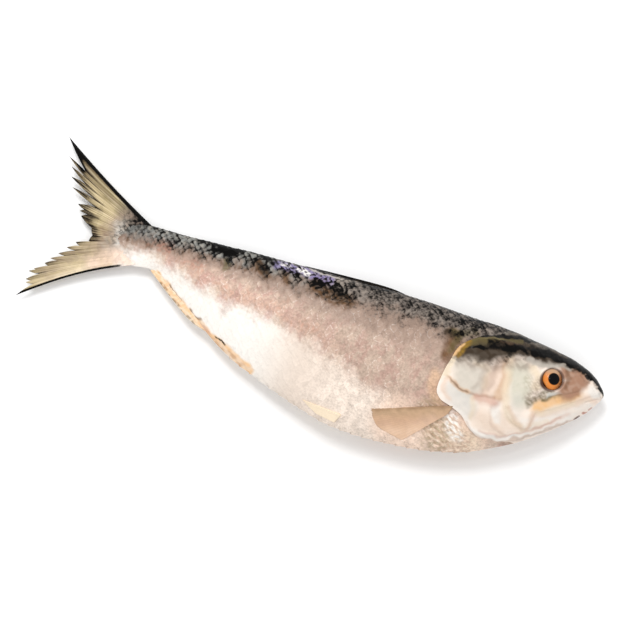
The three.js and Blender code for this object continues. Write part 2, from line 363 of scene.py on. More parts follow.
bareLook = {
    "speckSize": 1.0,
    "mottleSize": 9.0,
    "specks": 0.16,
    "blotches": 0.2,
    "inkSpecks": 0.5,
    "inkBlotches": 0.6,
    "inkSoft": 0.75,
    "brown": 0.5,
    "roughness": 0.3,
    "specular": 0.06,
    "coat": 0.14,
    "coatRoughness": 0.08,
}
finLook = {
    "speckSize": 1.0,
    "mottleSize": 7.0,
    "specks": 0.3,
    "blotches": 0.25,
    "inkSpecks": 0.6,
    "inkBlotches": 0.5,
    "inkSoft": 0.6,
    "brown": 0.5,
    "rayInk": 0.55,
    "roughness": 0.42,
    "specular": 0.04,
    "coat": 0.04,
    "coatRoughness": 0.16,
}
inkLimit = 0.62  # the amount of black pigment that turns the skin half black
scaleNet = {
    "toneLight": 0.2,  # how much lighter one scale may be than another
    "plainLight": 1.04,  # the light of skin on which no scale shows
    "toneInk": 0.8,  # how far the black shifts from scale to scale, and from where
    "toneFrom": -0.68,
    "borderInk": 0.4,  # how much more black a scale has at its borders
    "alongScale": 3.2,  # brings the distance from a scale's middle to about 1 at its borders
    "alongShift": -2.34,
    "acrossScale": 1.7,
    "highlightTickFrom": 0.8,  # where on a scale its painted highlight at the rear edge starts and is full
    "highlightTickFull": 0.97,
    "highlightTickScales": 0.4,  # the lot above which a scale has one
}


def skinMaterial(name, look, scaled, rayed):
    # Wet fish skin: clear mucus over silvery white skin with pink, ochre and black pigment in it.
    # It gives the eye a soft white gloss, pearly below and dark on the back; the broken highlights on the
    # rear edges of some scales are painted.
    # A fin is the same skin without flesh: a thin membrane between fine jointed rays.
    material, tree = newMaterial(name)
    place = addNode(tree, "TexCoord")["Object"]
    wash = addNode(tree, "Attribute", {"attribute_name": "wash"})["Vector"]
    pigmentAndHighlight = addNode(tree, "Attribute", {"attribute_name": "pigmentAndHighlight"})["Vector"]
    pigmentAndHighlight = addNode(tree, "SeparateXYZ", {}, {0: pigmentAndHighlight})
    noises = []
    for size, detail in ((look["speckSize"], 2.0), (look["mottleSize"], 4.0)):
        settings = {"Scale": 1 / (size * mm), "Detail": detail, "Roughness": 0.6}
        noises.append(addNode(tree, "TexNoise", settings, {"Vector": place})["Fac"])
    speck, mottle = noises

    # the wash grows lighter and darker with the blotches and the specks
    level = 1 - (look["specks"] + look["blotches"]) / 2
    settings = {"operation": "MULTIPLY_ADD", 1: look["blotches"], 2: level}
    uneven = addNode(tree, "Math", settings, {0: mottle})[0]
    settings = {"operation": "MULTIPLY_ADD", 1: look["specks"]}
    uneven = addNode(tree, "Math", settings, {0: speck, 2: uneven})[0]
    if scaled:
        cover, tone, apart, grain = scalePattern(tree)
        settings = {"operation": "MULTIPLY_ADD", 1: scaleNet["toneLight"]}
        uneven = addNode(tree, "Math", settings, {0: tone, 2: uneven})[0]
        settings = {"data_type": "FLOAT", 2: scaleNet["plainLight"]}
        uneven = addNode(tree, "Mix", settings, {0: grain, 3: uneven})[0]
    colour = addNode(tree, "VectorMath", {"operation": "SCALE"}, {0: wash, 3: uneven})[0]
    if rayed:
        rays = addNode(tree, "Attribute", {"attribute_name": "rays"})["Vector"]
        rays = addNode(tree, "SeparateXYZ", {}, {0: rays})
        nearRay = addNode(tree, "Math", {"operation": "PINGPONG", 1: 0.5}, {0: rays[0]})[0]
        joint = addNode(tree, "Math", {"operation": "PINGPONG", 1: 0.5}, {0: rays[1]})[0]
        settings = {"interpolation_type": "SMOOTHSTEP", "From Min": 0.04, "From Max": 0.3}
        settings.update({"To Min": look["rayInk"], "To Max": 0.0})
        line = addNode(tree, "MapRange", settings, {"Value": nearRay})[0]
        for factor in (speck, rays[2]):
            line = addNode(tree, "Math", {"operation": "MULTIPLY"}, {0: line, 1: factor})[0]
        settings = {"data_type": "RGBA", 7: hexToLinear(colours["umber"])}
        colour = addNode(tree, "Mix", settings, {0: line, 6: colour})[2]

    # black where the pigment's amount, the specks, the blotches and the scale borders together pass a limit
    dark = pigmentAndHighlight[0]
    for share, noise in ((look["inkSpecks"], speck), (look["inkBlotches"], mottle)):
        dark = addNode(tree, "Math", {"operation": "MULTIPLY_ADD", 1: share}, {0: noise, 2: dark})[0]
    if scaled:
        # the net: more at a scale's borders, less at its middle, and all of it shifted from scale to scale
        settings = {"operation": "MULTIPLY_ADD", 1: scaleNet["toneInk"], 2: scaleNet["toneFrom"]}
        lot = addNode(tree, "Math", settings, {0: tone})[0]
        settings = {"operation": "MULTIPLY_ADD", 1: scaleNet["borderInk"]}
        net = addNode(tree, "Math", settings, {0: apart, 2: lot})[0]
        dark = addNode(tree, "Math", {"operation": "MULTIPLY_ADD"}, {0: net, 1: pigmentAndHighlight[1], 2: dark})[0]
        # painted highlight: a bright tick on the rear edge of some scales, broken by the specks
        settings = {"interpolation_type": "SMOOTHSTEP"}
        settings.update({"From Min": scaleNet["highlightTickFrom"], "From Max": scaleNet["highlightTickFull"]})
        highlightTick = addNode(tree, "MapRange", settings, {"Value": cover})[0]
        some = addNode(tree, "MapRange", {"From Min": scaleNet["highlightTickScales"]}, {"Value": tone})[0]
        broken = addNode(tree, "MapRange", {"From Min": 0.46, "From Max": 0.62}, {"Value": speck})[0]
        for factor in (some, broken, pigmentAndHighlight[2]):
            highlightTick = addNode(tree, "Math", {"operation": "MULTIPLY"}, {0: highlightTick, 1: factor})[0]
        settings = {"data_type": "RGBA", 7: hexToLinear(colours["highlightTick"])}
        colour = addNode(tree, "Mix", settings, {0: highlightTick, 6: colour})[2]
    middle = inkLimit + (look["inkSpecks"] + look["inkBlotches"]) / 2
    for label, start, full, most in (("bark", -1.0, 0.2, look["brown"]), ("ink", -0.5, 0.5, 1.0)):
        start, full = middle + start * look["inkSoft"], middle + full * look["inkSoft"]
        settings = {"interpolation_type": "SMOOTHSTEP", "From Min": start, "From Max": full, "To Max": most}
        share = addNode(tree, "MapRange", settings, {"Value": dark})[0]
        settings = {"data_type": "RGBA", 7: hexToLinear(colours[label])}
        colour = addNode(tree, "Mix", settings, {0: share, 6: colour})[2]

    # relief of the specks, the scales' edges, the rays and their joints: what it follows, strength, mm deep
    reliefs = [(speck, 0.25, 0.2)]
    if scaled:
        reliefs.append((cover, 0.4, 0.2))
    if rayed:
        reliefs += [(nearRay, 0.3, 0.15), (joint, 0.12, 0.15)]
    relief = None
    for height, strength, depth in reliefs:
        links = {"Height": height, "Normal": relief} if relief else {"Height": height}
        relief = addNode(tree, "Bump", {"Strength": strength, "Distance": depth * mm}, links)[0]
    shader = addNode(
        tree,
        "BsdfPrincipled",
        {
            "Roughness": look["roughness"],
            "IOR": 1.42,
            "Specular IOR Level": look["specular"],
            "Coat Weight": look["coat"],
            "Coat Roughness": look["coatRoughness"],
            "Coat IOR": 1.36,
        },
        {"Base Color": colour, "Normal": relief},
    )
    addNode(tree, "OutputMaterial", {}, {"Surface": shader[0]})
    return material


scaleRows = {
    "pitch": 5.4,  # mm from one scale to the next along the fish, and the same near the tail
    "tailPitch": 4.4,
    "tailReach": [-345, -250],  # along the fish, where the pitch starts to grow and is full
    "acrossShare": 0.66,  # a row's width as a share of the pitch
    "bow": 0.5,  # how far a scale's rear edge curves, as a share of the pitch
    "height": 0.26,
}


def scalePattern(tree):
    # Tiles in two families of rows half a step apart. A tile's rear edge lies at a whole number of
    # place + bow drop², where drop is the distance from its row; the higher remainder covers the lower.
    grid = addNode(tree, "Attribute", {"attribute_name": "scaleGrid"})["Vector"]
    parts = addNode(tree, "SeparateXYZ", {}, {0: grid})
    folded = addNode(tree, "Math", {"operation": "PINGPONG", 1: 1.0}, {0: parts[1]})[0]
    other = addNode(tree, "Math", {"operation": "SUBTRACT", 0: 1.0}, {1: folded})[0]
    families = []
    for shift, drop in ((0.0, folded), (0.5, other)):
        square = addNode(tree, "Math", {"operation": "MULTIPLY"}, {0: drop, 1: drop})[0]
        settings = {"operation": "MULTIPLY_ADD", 1: scaleRows["bow"]}
        bowed = addNode(tree, "Math", settings, {0: square, 2: parts[0]})[0]
        phase = addNode(tree, "Math", {"operation": "ADD", 1: shift}, {0: bowed})[0]
        share = addNode(tree, "Math", {"operation": "FRACT"}, {0: phase})[0]
        number = addNode(tree, "Math", {"operation": "FLOOR"}, {0: phase})[0]
        row = addNode(tree, "Math", {"operation": "MULTIPLY_ADD", 1: 0.5, 2: 0.5 - shift}, {0: parts[1]})[0]
        row = addNode(tree, "Math", {"operation": "FLOOR"}, {0: row})[0]
        key = addNode(tree, "CombineXYZ", {2: 7 * shift}, {0: number, 1: row})[0]
        families.append((share, key))
    links = {0: families[0][0], 1: families[1][0]}
    over, cover = (addNode(tree, "Math", {"operation": o}, links)[0] for o in ("GREATER_THAN", "MAXIMUM"))
    links = {0: over, 4: families[1][1], 5: families[0][1]}
    key = addNode(tree, "Mix", {"data_type": "VECTOR"}, links)[1]
    tone = addNode(tree, "TexWhiteNoise", {"noise_dimensions": "3D"}, {"Vector": key})["Value"]
    # the distance from the middle of the scale's open part: 0 there and about 1 at its borders
    links = {0: over, 2: other, 3: folded}
    drop = addNode(tree, "Mix", {"data_type": "FLOAT"}, links)[0]
    settings = {"operation": "MULTIPLY_ADD", 1: scaleNet["alongScale"], 2: scaleNet["alongShift"]}
    along = addNode(tree, "Math", settings, {0: cover})[0]
    settings = {"operation": "MULTIPLY", 1: scaleNet["acrossScale"]}
    across = addNode(tree, "Math", settings, {0: drop})[0]
    apart = addNode(tree, "CombineXYZ", {}, {0: along, 1: across})[0]
    apart = addNode(tree, "VectorMath", {"operation": "LENGTH"}, {0: apart})["Value"]
    return cover, tone, apart, parts[2]


def paint(label):
    # a colour in linear light
    return np.array(hexToLinear(colours[label])[:3])


def washOf(x, label):
    # one colour for all points
    return np.broadcast_to(paint(label), (*x.shape, 3))


def lay(wash, label, mask):
    # the colour over the wash, by the mask
    return mix(wash, paint(label), mask[..., None])


brush = {
    "wander": 0.8,  # mm that a stroke strays from its line, in waves this long, and how it trembles
    "wanderSize": 11,
    "tremble": 0.2,
    "trembleSize": 3.5,
    "patches": (0.1, 5),  # how patchy a stroke is that doesn't say, and the mm across a patch
}


def paintStrokes(x, y, wash, ink, strokes):
    # A stroke is its colour, its width, the mm over which it fades, its amount and its line, then how
    # patchy it is and the mm across a patch. Without a width it fills the side on the line's left.
    # It lays its colour over the wash, or adds black pigment, or takes it away where it is bare.
    strayed = []
    for place, seed in ((x, 41), (y, 43)):
        slow = softNoise(x, y, brush["wanderSize"], seed)
        quick = softNoise(x, y, brush["trembleSize"], seed + 1)
        strayed.append(place + brush["wander"] * slow + brush["tremble"] * quick)
    blotches = {}
    for colour, width, soft, amount, line, *patches in strokes:
        patchy, grain = patches or brush["patches"]
        if grain not in blotches:
            blotches[grain] = smoothStep(softNoise(x, y, grain, 45), -0.7, 0.5)
        offset = lineField(*strayed, drawnLine(line))[0]
        if width is None:
            mask = smoothStep(offset, -soft / 2, soft / 2)
        else:
            mask = 1 - smoothStep(np.abs(offset), width / 2, width / 2 + soft)
        mask = mask * amount * mix(1, blotches[grain], patchy)
        if colour == "ink":
            ink = ink + mask
        elif colour == "bare":
            ink = ink * (1 - mask)
        else:
            wash = lay(wash, colour, mask)
    return wash, ink


gillMargin = [(-80.0, 20.9), (-86.0, 16.0), (-92.5, 10.5), (-103.8, 1.4), (-107.9, -5.0), (-109.8, -12.9),
              (-111.5, -19.3), (-112.9, -30.0), (-112.2, -36.0), (-108.5, -39.9), (-104.0, -41.4),
              (-97.2, -43.5), (-91.2, -46.2), (-87.1, -49.9), (-82.3, -53.7), (-74.8, -56.6), (-66.5, -57.4),
              (-58.0, -57.0), (-51.0, -54.3)]
marginPlan = smoothLine(gillMargin, np.linspace(0, len(gillMargin) - 1, 300))
marginStation, marginHeight = bodyPlace(marginPlan[:, 0], marginPlan[:, 1])
marginHeight[0] = 1
marginHeight[-1] = -1


def hoodStation(height):
    # the station of the head's rear edge at each height
    return np.interp(height, marginHeight[::-1], marginStation[::-1])


def flushShare(height):
    # 1 where head and trunk run on into each other, over the nape and under the throat, 0 along the opening
    return np.maximum(smoothStep(height, 0.70, 0.86), smoothStep(height, -0.74, -0.86))


def flankHeights(columns):
    # heights from the back's edge to the keel, crowded where the skin turns over
    return np.cos(np.pi * np.linspace(0, 1, columns + 1))


def joinFlanks(upper, lower):
    # the upper flank from back to keel and the lower flank from keel to back make one ring
    return np.concatenate([upper, lower[:, -2:0:-1]], 1)


def bothFlanks(piece, stationAt):
    # grids of station and height for the upper and the lower flank, by the station for each height's margin,
    # and both joined
    flanks = []
    for side, columns in ((1, piece["upperColumns"]), (-1, piece["lowerColumns"])):
        height = flankHeights(columns)[None, :]
        station = stationAt(hoodStation(height))
        flanks.append((station, np.broadcast_to(height, station.shape), side))
    station, height = (joinFlanks(flanks[0][k], flanks[1][k]) for k in range(2))
    return flanks, station, height


def nearBack(x, y):
    # mm below the back's edge, straight down the plan, and below its last full height where the body ends
    edge = backEdge(np.linspace(0, lastStation, 400))
    return np.interp(np.maximum(x, -340), edge[::-1, 0], edge[::-1, 1]) - y


head = {
    "rows": 226,
    "upperColumns": 200,
    "lowerColumns": 130,
    "crowding": 0.74,  # power that spaces the rings evenly from the snout back
    "lipRadius": 0.55,
    "lipTurns": [36, 72, 108, 144, 180],  # degrees round the lip
    "gillRaise": 1.5,
    "gillRise": 42.0,  # mm ahead of the margin over which the gill cover lifts
    "returnRows": [6, 14, 24],  # rings ahead of the margin that the inner face repeats
    "flushDip": 1.2,  # mm that the hidden end sinks where head and trunk run on into each other
    "foldEnds": 0.14,  # share of a fold's line over which it dies out at each end, and of a groove's
    "grooveEnds": 0.1,
    "swell": 0.16,  # mm of unevenness in long waves and in short ones
    "pores": 0.06,
}
preopercleEdge = [(-71, 7), (-70, -4), (-68.7, -14.2), (-66.7, -26.7), (-61.5, -35.9), (-54, -40.4),
                  (-45, -39.5), (-34, -33)]
sutureLine = [(-109.8, -23.9), (-104.6, -26.7), (-98.9, -28.6), (-92.7, -29.8), (-86.8, -29.8),
              (-80.5, -29.0), (-73.4, -28.0)]
lobeOutline = [(-69.8, -27.6), (-73.5, -32.4), (-73.8, -38.4), (-71.3, -44.2), (-66.5, -47.8),
               (-58.8, -49.1)]
jawAngle = [(-62.0, -31.8), (-54.8, -38.3), (-47.8, -42.0), (-45.2, -33.9), (-42.5, -23.5)]
maxillaTop = [(-40.9, -19.3), (-36.1, -16.0), (-29.7, -12.9), (-22.1, -9.1), (-16.0, -5.0)]
maxillaLow = [(-44.4, -29.2), (-35.7, -24.3), (-26.5, -18.5), (-17.5, -12.1), (-8.7, -5.9), (-2, -4)]
throatRays = [
    # the edges of the gill membrane's folded rays, one under the other
    [(-87.3, -49.2), (-81.6, -53.3), (-73.3, -56.6), (-64.5, -56.4), (-56.0, -53.4), (-46.6, -48.2),
     (-34.7, -39.4), (-22.7, -30.5), (-13.3, -23.2)],
    [(-80.2, -56.5), (-70.7, -58.6), (-60.9, -57.2), (-50.8, -52.2), (-39.9, -44.7), (-28.0, -36.0),
     (-18.7, -28.3)],
    [(-77.0, -52.0), (-68.0, -52.6), (-58.5, -50.2), (-48.0, -44.6), (-36.0, -36.0), (-25.0, -27.5)],
]
opercleArcs = [
    [(-86.7, -4.3), (-85.5, -12.7), (-86.1, -20.2), (-90.0, -26.6)],
    [(-79.8, -5.1), (-78.9, -15.0), (-79.1, -23.9)],
]
# Folds: the height on the line, the mm over which it rises on the left and falls away on the right.
headFolds = [
    (0.9, 16, 1.8, preopercleEdge),
    (0.4, 9, 0.9, sutureLine),
    (0.4, 5, 1.2, lobeOutline),
    (0.4, 6, 1.6, jawAngle),
    (0.4, 6, 1.4, maxillaLow),
    (0.75, 4, 0.9, throatRays[0]),
    (0.5, 2.5, 0.8, throatRays[1]),
    (0.4, 2.6, 0.9, throatRays[2]),
    (0.5, 5, 2.5, [(-62, 2.4), (-50, 6.4), (-38, 8.4), (-26, 8.8), (-17, 6.6)]),
    (0.35, 5, 2.5, [(-51.6, 0.8), (-48.8, -5.7), (-48.5, -11.4)]),
    (0.2, 4, 3, opercleArcs[0]),
    (0.22, 4, 3, opercleArcs[1]),
]
# Grooves: the depth on the line and the mm to which it spreads.
headGrooves = [
    (0.5, 1.0, maxillaTop),
    (0.6, 0.7, [(1, -5.2), (-5, -8.4), (-12, -12.8)]),
    (0.3, 1.6, [(-56, 12.5), (-68.5, 12.4), (-78.7, 12.0), (-90, 10.5), (-99, 6)]),
    (0.4, 1.4, [(-48.8, -24.7), (-44.9, -20.6), (-41.1, -16.5), (-38.3, -12.2)]),
    (0.2, 1.2, [(-48.8, -17.4), (-45.0, -13.3)]),
    (0.25, 0.8, [(-71.5, -31.8), (-69.8, -37.1), (-66.8, -42.1)]),
    (0.2, 0.8, [(-69.0, -31.0), (-67.2, -36.5), (-64.0, -41.5)]),
    (0.25, 2.5, [(-60, -31), (-52, -30), (-45, -27.5)]),
    (0.3, 0.7, [(-16.8, 2.1), (-12.8, 1.1), (-11.4, 3.8)]),
]
nostrils = {"places": [(-14.9, 5.4), (-12.3, 4.2)], "radius": 1.1, "depth": 0.8}
eye = {"at": (-38.1, -3.6), "radius": 7.6, "bulge": 4.6, "sunk": 3.3, "lens": 0.3}
socket = {
    "radius": 8.0,
    "wall": 0.9,
    "depth": 3.6,
    "rimRaise": 0.35,
    "rimWidth": 1.6,
    "dish": 0.5,  # mm that the face sinks round the eye, and how far round it
    "dishReach": 14.0,
}
eyeRing = {
    # dark skin and painted shade of the socket round the eye, thickest in one direction: mm from the eye's
    # middle
    "thickAt": 222,  # degrees from straight ahead
    "full": 7.7,
    "end": 8.5,
    "fullMore": 1.6,
    "endMore": 2.3,
    "amount": 0.5,
    "thickAmount": 0.95,
    "ink": 0.3,
}


def headRelief(x, y):
    # the sum of folds, grooves, eye socket and nostrils at a plan place, in mm off the plain skin
    relief = np.zeros(x.shape)
    for height, rise, fall, line in headFolds:
        offset, share = lineField(x, y, drawnLine(line, 24))
        ahead = 1 - smoothStep(offset, 0, rise)
        behind = 1 - smoothStep(-offset, 0, fall)
        ends = smoothStep(np.minimum(share, 1 - share), 0, head["foldEnds"])
        relief += height * np.where(offset > 0, ahead, behind) * ends
    for depth, width, line in headGrooves:
        offset, share = lineField(x, y, drawnLine(line, 20))
        ends = smoothStep(np.minimum(share, 1 - share), 0, head["grooveEnds"])
        relief -= depth * bump(offset, 0, width) * ends
    away = np.hypot(x - eye["at"][0], y - eye["at"][1])
    relief -= socket["dish"] * bump(away, 0, socket["dishReach"])
    relief += socket["rimRaise"] * bump(away, socket["radius"] + 0.9, socket["rimWidth"] / 2)
    relief -= socket["depth"] * smoothStep(away, socket["radius"], socket["radius"] - socket["wall"])
    for pitX, pitY in nostrils["places"]:
        relief -= nostrils["depth"] * bump(np.hypot(x - pitX, y - pitY), 0, nostrils["radius"] * 0.7)
    return relief + head["swell"] * softNoise(x, y, 11, 5) + head["pores"] * softNoise(x, y, 3.5, 6)


crownLine = [(-114, -14), (-104, -9), (-97, -7.6), (-87.5, -6), (-79.5, -4.6), (-75, 0.4), (-69, 3),
             (-62.5, 4.4), (-57, 4), (-48.6, 4), (-41, 6.2), (-33, 7.8), (-24.6, 8), (-17.8, 6.5),
             (-12.4, 4.8), (-3.3, 0.6), (1, -3)]
blackLine = [(-104, -1), (-97, 0.6), (-89.6, 1.8), (-80, 3.8), (-72.8, 5), (-64.4, 7.6), (-57.4, 5.8),
             (-47.5, 7.6), (-37.5, 9.2), (-26.4, 9.4), (-18.8, 8), (-12.4, 5.8), (-3.3, 1.2), (1, -2.4)]
mossLine = [(-104.5, 1.2), (-99.7, 5), (-95.3, 7.4), (-88.7, 10), (-80, 12), (-71.9, 13.2), (-65.1, 14.4)]
gillRim = [(-111.4, -25), (-111.9, -30), (-111, -36), (-107.4, -39), (-102, -41), (-96.4, -42.8),
           (-90.4, -45.6), (-86.2, -49), (-81.4, -52.6), (-74.4, -55.4)]
headStrokes = [
    # gill cover: a pearly middle with a cream border, then grey, pink and peach bands up to the cheek
    ("pearl", 14, 9, 0.9, [(-98, -9), (-95, -18), (-92, -24)]),
    ("cream", 1.5, 3, 0.5, [(-93, -9.4), (-86, -10.2), (-82.9, -14.1), (-83.3, -23)]),
    ("tan", 1.5, 4.5, 0.5, [(-74.5, -3.2), (-79.5, -11), (-81.4, -19), (-82.2, -26)]),
    ("petal", 2, 4, 0.7, [(-77.2, -10.4), (-77.4, -19.2), (-78.7, -27.4)]),
    ("peach", 3, 4.5, 0.8, [(-71.5, -2), (-70, -12), (-70.4, -20.8), (-71.5, -28)]),
    # painted highlight: a cream line along the ridge of the preopercle
    ("cream", 1.2, 3, 0.7, preopercleEdge),
    ("paleBlue", 7, 5, 0.7, [(-103, -33), (-95.7, -37), (-88, -40.5)]),
    ("cream", 0.8, 2.5, 0.6, [(-88.4, -32.4), (-85.6, -38.4), (-85.8, -45.3)]),
    ("peach", 2, 8, 0.3, [(-80, -43), (-73, -46), (-64, -49)]),
    # cheek
    ("celadon", 8, 7, 0.75, [(-62, -6), (-59, -14), (-57.5, -22)]),
    ("paleBlue", 3, 6, 0.3, [(-59, -24), (-57, -33)]),
    ("cream", 2.5, 4, 0.9, [(-53.5, -1), (-48.5, -6), (-48, -12)]),
    ("moss", 1.5, 5, 0.3, [(-55, -9), (-51, -15), (-49.5, -20)], 0.8, 2.6),
    # jaw and throat: pale flesh; the white lines along the folds are painted highlights and the pink, peach
    # and tan lines in the creases are painted shade
    ("white", 3, 3, 0.8, [(-71.4, -31.5), (-70.8, -36), (-66.9, -41)]),
    ("peach", 2, 4, 0.2, [(-66, -38), (-60, -41.5), (-52, -43.5)]),
    ("white", 4, 6, 0.6, [(-48, -38), (-32, -30), (-20, -21.5), (-9, -13)], 0.5, 5),
    ("petal", 1, 3.5, 0.5, [(-44, -31), (-33, -26), (-22, -18.5), (-12, -11.5)], 0.3, 5),
    ("blush", 0.4, 3, 0.3, [(-42.3, -27), (-43.1, -32), (-46.2, -40.8)]),
    ("tan", 0.2, 1.8, 0.22, lobeOutline),
    ("peach", 0.4, 3, 0.4, jawAngle),
    ("blush", 0.4, 3, 0.3, [(-40, -39), (-30, -32.5), (-20, -24)]),
    ("white", 1.6, 2.4, 0.8, [(-80, -53), (-66.9, -54.3), (-52.5, -50), (-39.2, -43), (-27.5, -34),
     (-18, -25.6)]),
    ("tan", 0.2, 1.4, 0.5, throatRays[0]),
    ("tan", 0.2, 1.5, 0.45, throatRays[1]),
    ("blush", 0.2, 1.6, 0.4, throatRays[2]),
    # creases of the gill cover: lines along the suture, a pink patch, and painted shade in taupe along the
    # arcs
    ("apricot", 0.8, 1.8, 0.5, sutureLine[:4]),
    ("tan", 0.2, 2, 0.6, sutureLine),
    ("umber", 0.1, 0.8, 0.6, sutureLine[:4]),
    ("blush", 1, 4.5, 0.65, [(-86, -31.2), (-79.5, -31.8), (-72.6, -31)]),
    ("taupe", 0.4, 3, 0.3, opercleArcs[0]),
    ("taupe", 0.4, 3, 0.25, opercleArcs[1]),
    # upper jaw: an apricot plate under an olive line
    ("apricot", 2.6, 4.2, 1.0, [(-44, -25.6), (-37.4, -20.6), (-28.7, -15.4), (-20.4, -10.6),
     (-13.6, -5.4)]),
    ("cream", 1.2, 3.5, 0.6, [(-42, -29.4), (-34.5, -24.8), (-26, -19), (-18, -13.6), (-9, -7.4)]),
    ("peach", 0.8, 3, 0.3, [(-46, -22), (-40.6, -18.8), (-33, -16.4)]),
    ("tan", 1.2, 3, 0.35, [(-27, -14), (-20, -9.6), (-15.6, -5.6)]),
    ("olive", 0.6, 2.2, 0.85, maxillaTop, 0.3, 5),
    # smudges below and behind the eye
    ("olive", 1.2, 3, 0.75, [(-50, -25), (-45.2, -20), (-41.2, -15.2), (-36, -13.3)], 0.4, 2.6),
    ("taupe", 2.4, 5, 0.5, [(-50.5, -21), (-47, -15.5), (-46.4, -9)], 0.7, 2.4),
    ("paleBlue", 1, 1.4, 0.7, [(-38, -15.6), (-33.6, -13.6), (-28.6, -11)]),
    # bare mauve skin ahead of the eye, and the white nose
    ("mauve", 8.5, 6, 1.0, [(-29, 6), (-22, 2.6), (-21, -2.6), (-26.5, -7.5)]),
    ("mauve", 3, 5, 0.9, [(-20, 4), (-15.5, 0.5)]),
    ("umber", 0.8, 2.6, 0.5, [(-30.6, 7), (-28.3, 1), (-28.6, -5.8)]),
    ("ivory", 2.6, 5, 1.0, [(-12, -6), (-9, -2.4), (-4.6, -2.8), (-4, -8)]),
    ("white", 3, 4, 0.8, [(-9, -3.4), (-4.6, -3.8)]),
    ("petal", 0.8, 3, 0.6, [(-16.5, -13), (-11, -9), (-4, -8)]),
    # crown: dark above its line, black above another, with a pale brow below and an olive line left open
    ("taupe", 2, 7, 0.6, [(-104, -10), (-93, -9), (-82, -7), (-72, -2), (-60, 0)], 0.4, 5),
    ("bark", None, 5.5, 1.0, crownLine, 0.03, 5),
    ("ink", 1, 6, 0.4, crownLine, 1.0, 3.6),
    ("mist", 1, 2.2, 0.75, [(-58.4, 3.4), (-50, 3.4), (-42.2, 5), (-35, 7), (-28, 7.4)]),
    ("bare", 1, 2, 0.8, [(-58.4, 3.4), (-50, 3.4), (-42.2, 5), (-35, 7)]),
    ("ink", None, 4.5, 0.72, blackLine, 0.4, 5),
    ("ink", 2.6, 3, 0.3, [(-96, 2.2), (-87, 5), (-78.3, 6.4)]),
    ("ink", 2, 3, 0.3, [(-75.5, 5.5), (-69.7, 9.2), (-63, 9.9)]),
    ("ink", 3, 2.5, 0.6, [(-56, 9.6), (-46.9, 11.6), (-36.9, 11.2), (-27.9, 10.6), (-19, 9)]),
    ("ink", 0.6, 2.4, 0.4, [(-73.6, -0.5), (-71.4, 4.7), (-69.8, 8)]),
    ("umber", 1.6, 2.6, 0.6, [(-100.1, 3.6), (-91.3, 7.4), (-79.6, 10), (-66, 11.2)]),
    # painted sheen: a grey highlight along the top edge of the crown
    ("mist", 0.8, 3, 0.5, [(-84, 17.6), (-70, 17.8), (-56, 17), (-44, 15)], 0.6, 5),
    ("bare", 0.6, 3, 0.5, [(-84, 17.6), (-70, 17.8), (-56, 17)], 0.8, 2.6),
    # painted shade: a dark line in the fold above the olive line
    ("ink", 1, 2, 0.5, [(-103, 4.4), (-98.2, 8.4), (-89.4, 12), (-80, 14.4), (-70, 16.2), (-58, 18.2)]),
    ("olive", 0.8, 1.8, 0.8, mossLine),
    ("moss", 0.2, 1.3, 0.5, mossLine[:5], 0.5, 5),
    ("bare", 0.4, 1.6, 0.6, mossLine, 0.5, 5),
    # golden edge of the gill cover, which turns into a pale rim with a pink crease inside it; the pink in
    # the crease is painted shade and the white line along the rim a painted highlight
    ("olive", 2.4, 2.5, 0.8, [(-101.5, 1.8), (-97, 3.8), (-91, 6), (-84, 8.5)], 0.3, 5),
    ("bare", 2, 2.5, 0.75, [(-101.5, 1.8), (-97, 3.8), (-91, 6)], 0.3, 5),
    ("ink", 0.6, 1.6, 0.6, [(-102, -1.8), (-98, -0.3), (-92, 1.5)]),
    ("gold", 2.2, 3, 0.9, [(-102.4, 1.6), (-105, -2.4), (-107, -7)], 0.3, 3),
    ("bare", 2.4, 3, 0.8, [(-102.4, 1.6), (-105, -2.4), (-107, -7)], 0.3, 3),
    ("apricot", 0.3, 1.2, 0.8, [(-104, 1.7), (-107.7, -4.6), (-109.7, -12)]),
    ("cream", 1.4, 2.6, 0.9, [(-108.8, -12), (-110.4, -19), (-111.4, -25)]),
    ("petal", 0.6, 3, 0.6, [(-109, -25.5), (-109.4, -31), (-107.5, -36), (-103, -39)]),
    ("white", 0.8, 1.8, 0.5, gillRim),
    # nose and chin
    ("ink", 0.8, 1.6, 0.5, [(-15.4, 5.4), (-12.3, 4.2)]),
    ("ink", 1.6, 1.4, 0.8, [(-19.3, 10.1), (-12.5, 7.1), (-5.5, 3.4), (-0.2, -0.6), (1.2, -3.4)]),
    ("olive", 0.8, 1.6, 0.8, [(0, -1.6), (1.4, -5)]),
    ("maroon", 0.7, 0.9, 0.8, [(-14.8, -24.3), (-12.1, -22.3)]),
    ("salmon", 0.5, 1.0, 0.9, [(-9.6, -19.8), (-7.2, -17.6)]),
    ("salmon", 0.3, 0.9, 0.7, [(-7.5, -15.4), (-6, -13.8)]),
]


def headPaint(x, y):
    # a pale skin, the strokes above, and a dark ring round the eye, partly dark skin and partly painted
    # socket shade, that is thickest low and behind
    wash, ink = paintStrokes(x, y, washOf(x, "ivory"), np.zeros(x.shape), headStrokes)
    awayX, awayY = x - eye["at"][0], y - eye["at"][1]
    turn = np.arctan2(awayY, awayX) - np.radians(eyeRing["thickAt"])
    thick = np.clip(np.cos(turn), 0, 1) ** 1.5
    full = eyeRing["full"] + eyeRing["fullMore"] * thick
    end = eyeRing["end"] + eyeRing["endMore"] * thick
    ring = 1 - smoothStep(np.hypot(awayX, awayY), full, end)
    wash = lay(wash, "maroon", ring * mix(eyeRing["amount"], eyeRing["thickAmount"], thick))
    return wash, ink * (1 - ring) + eyeRing["ink"] * ring * thick


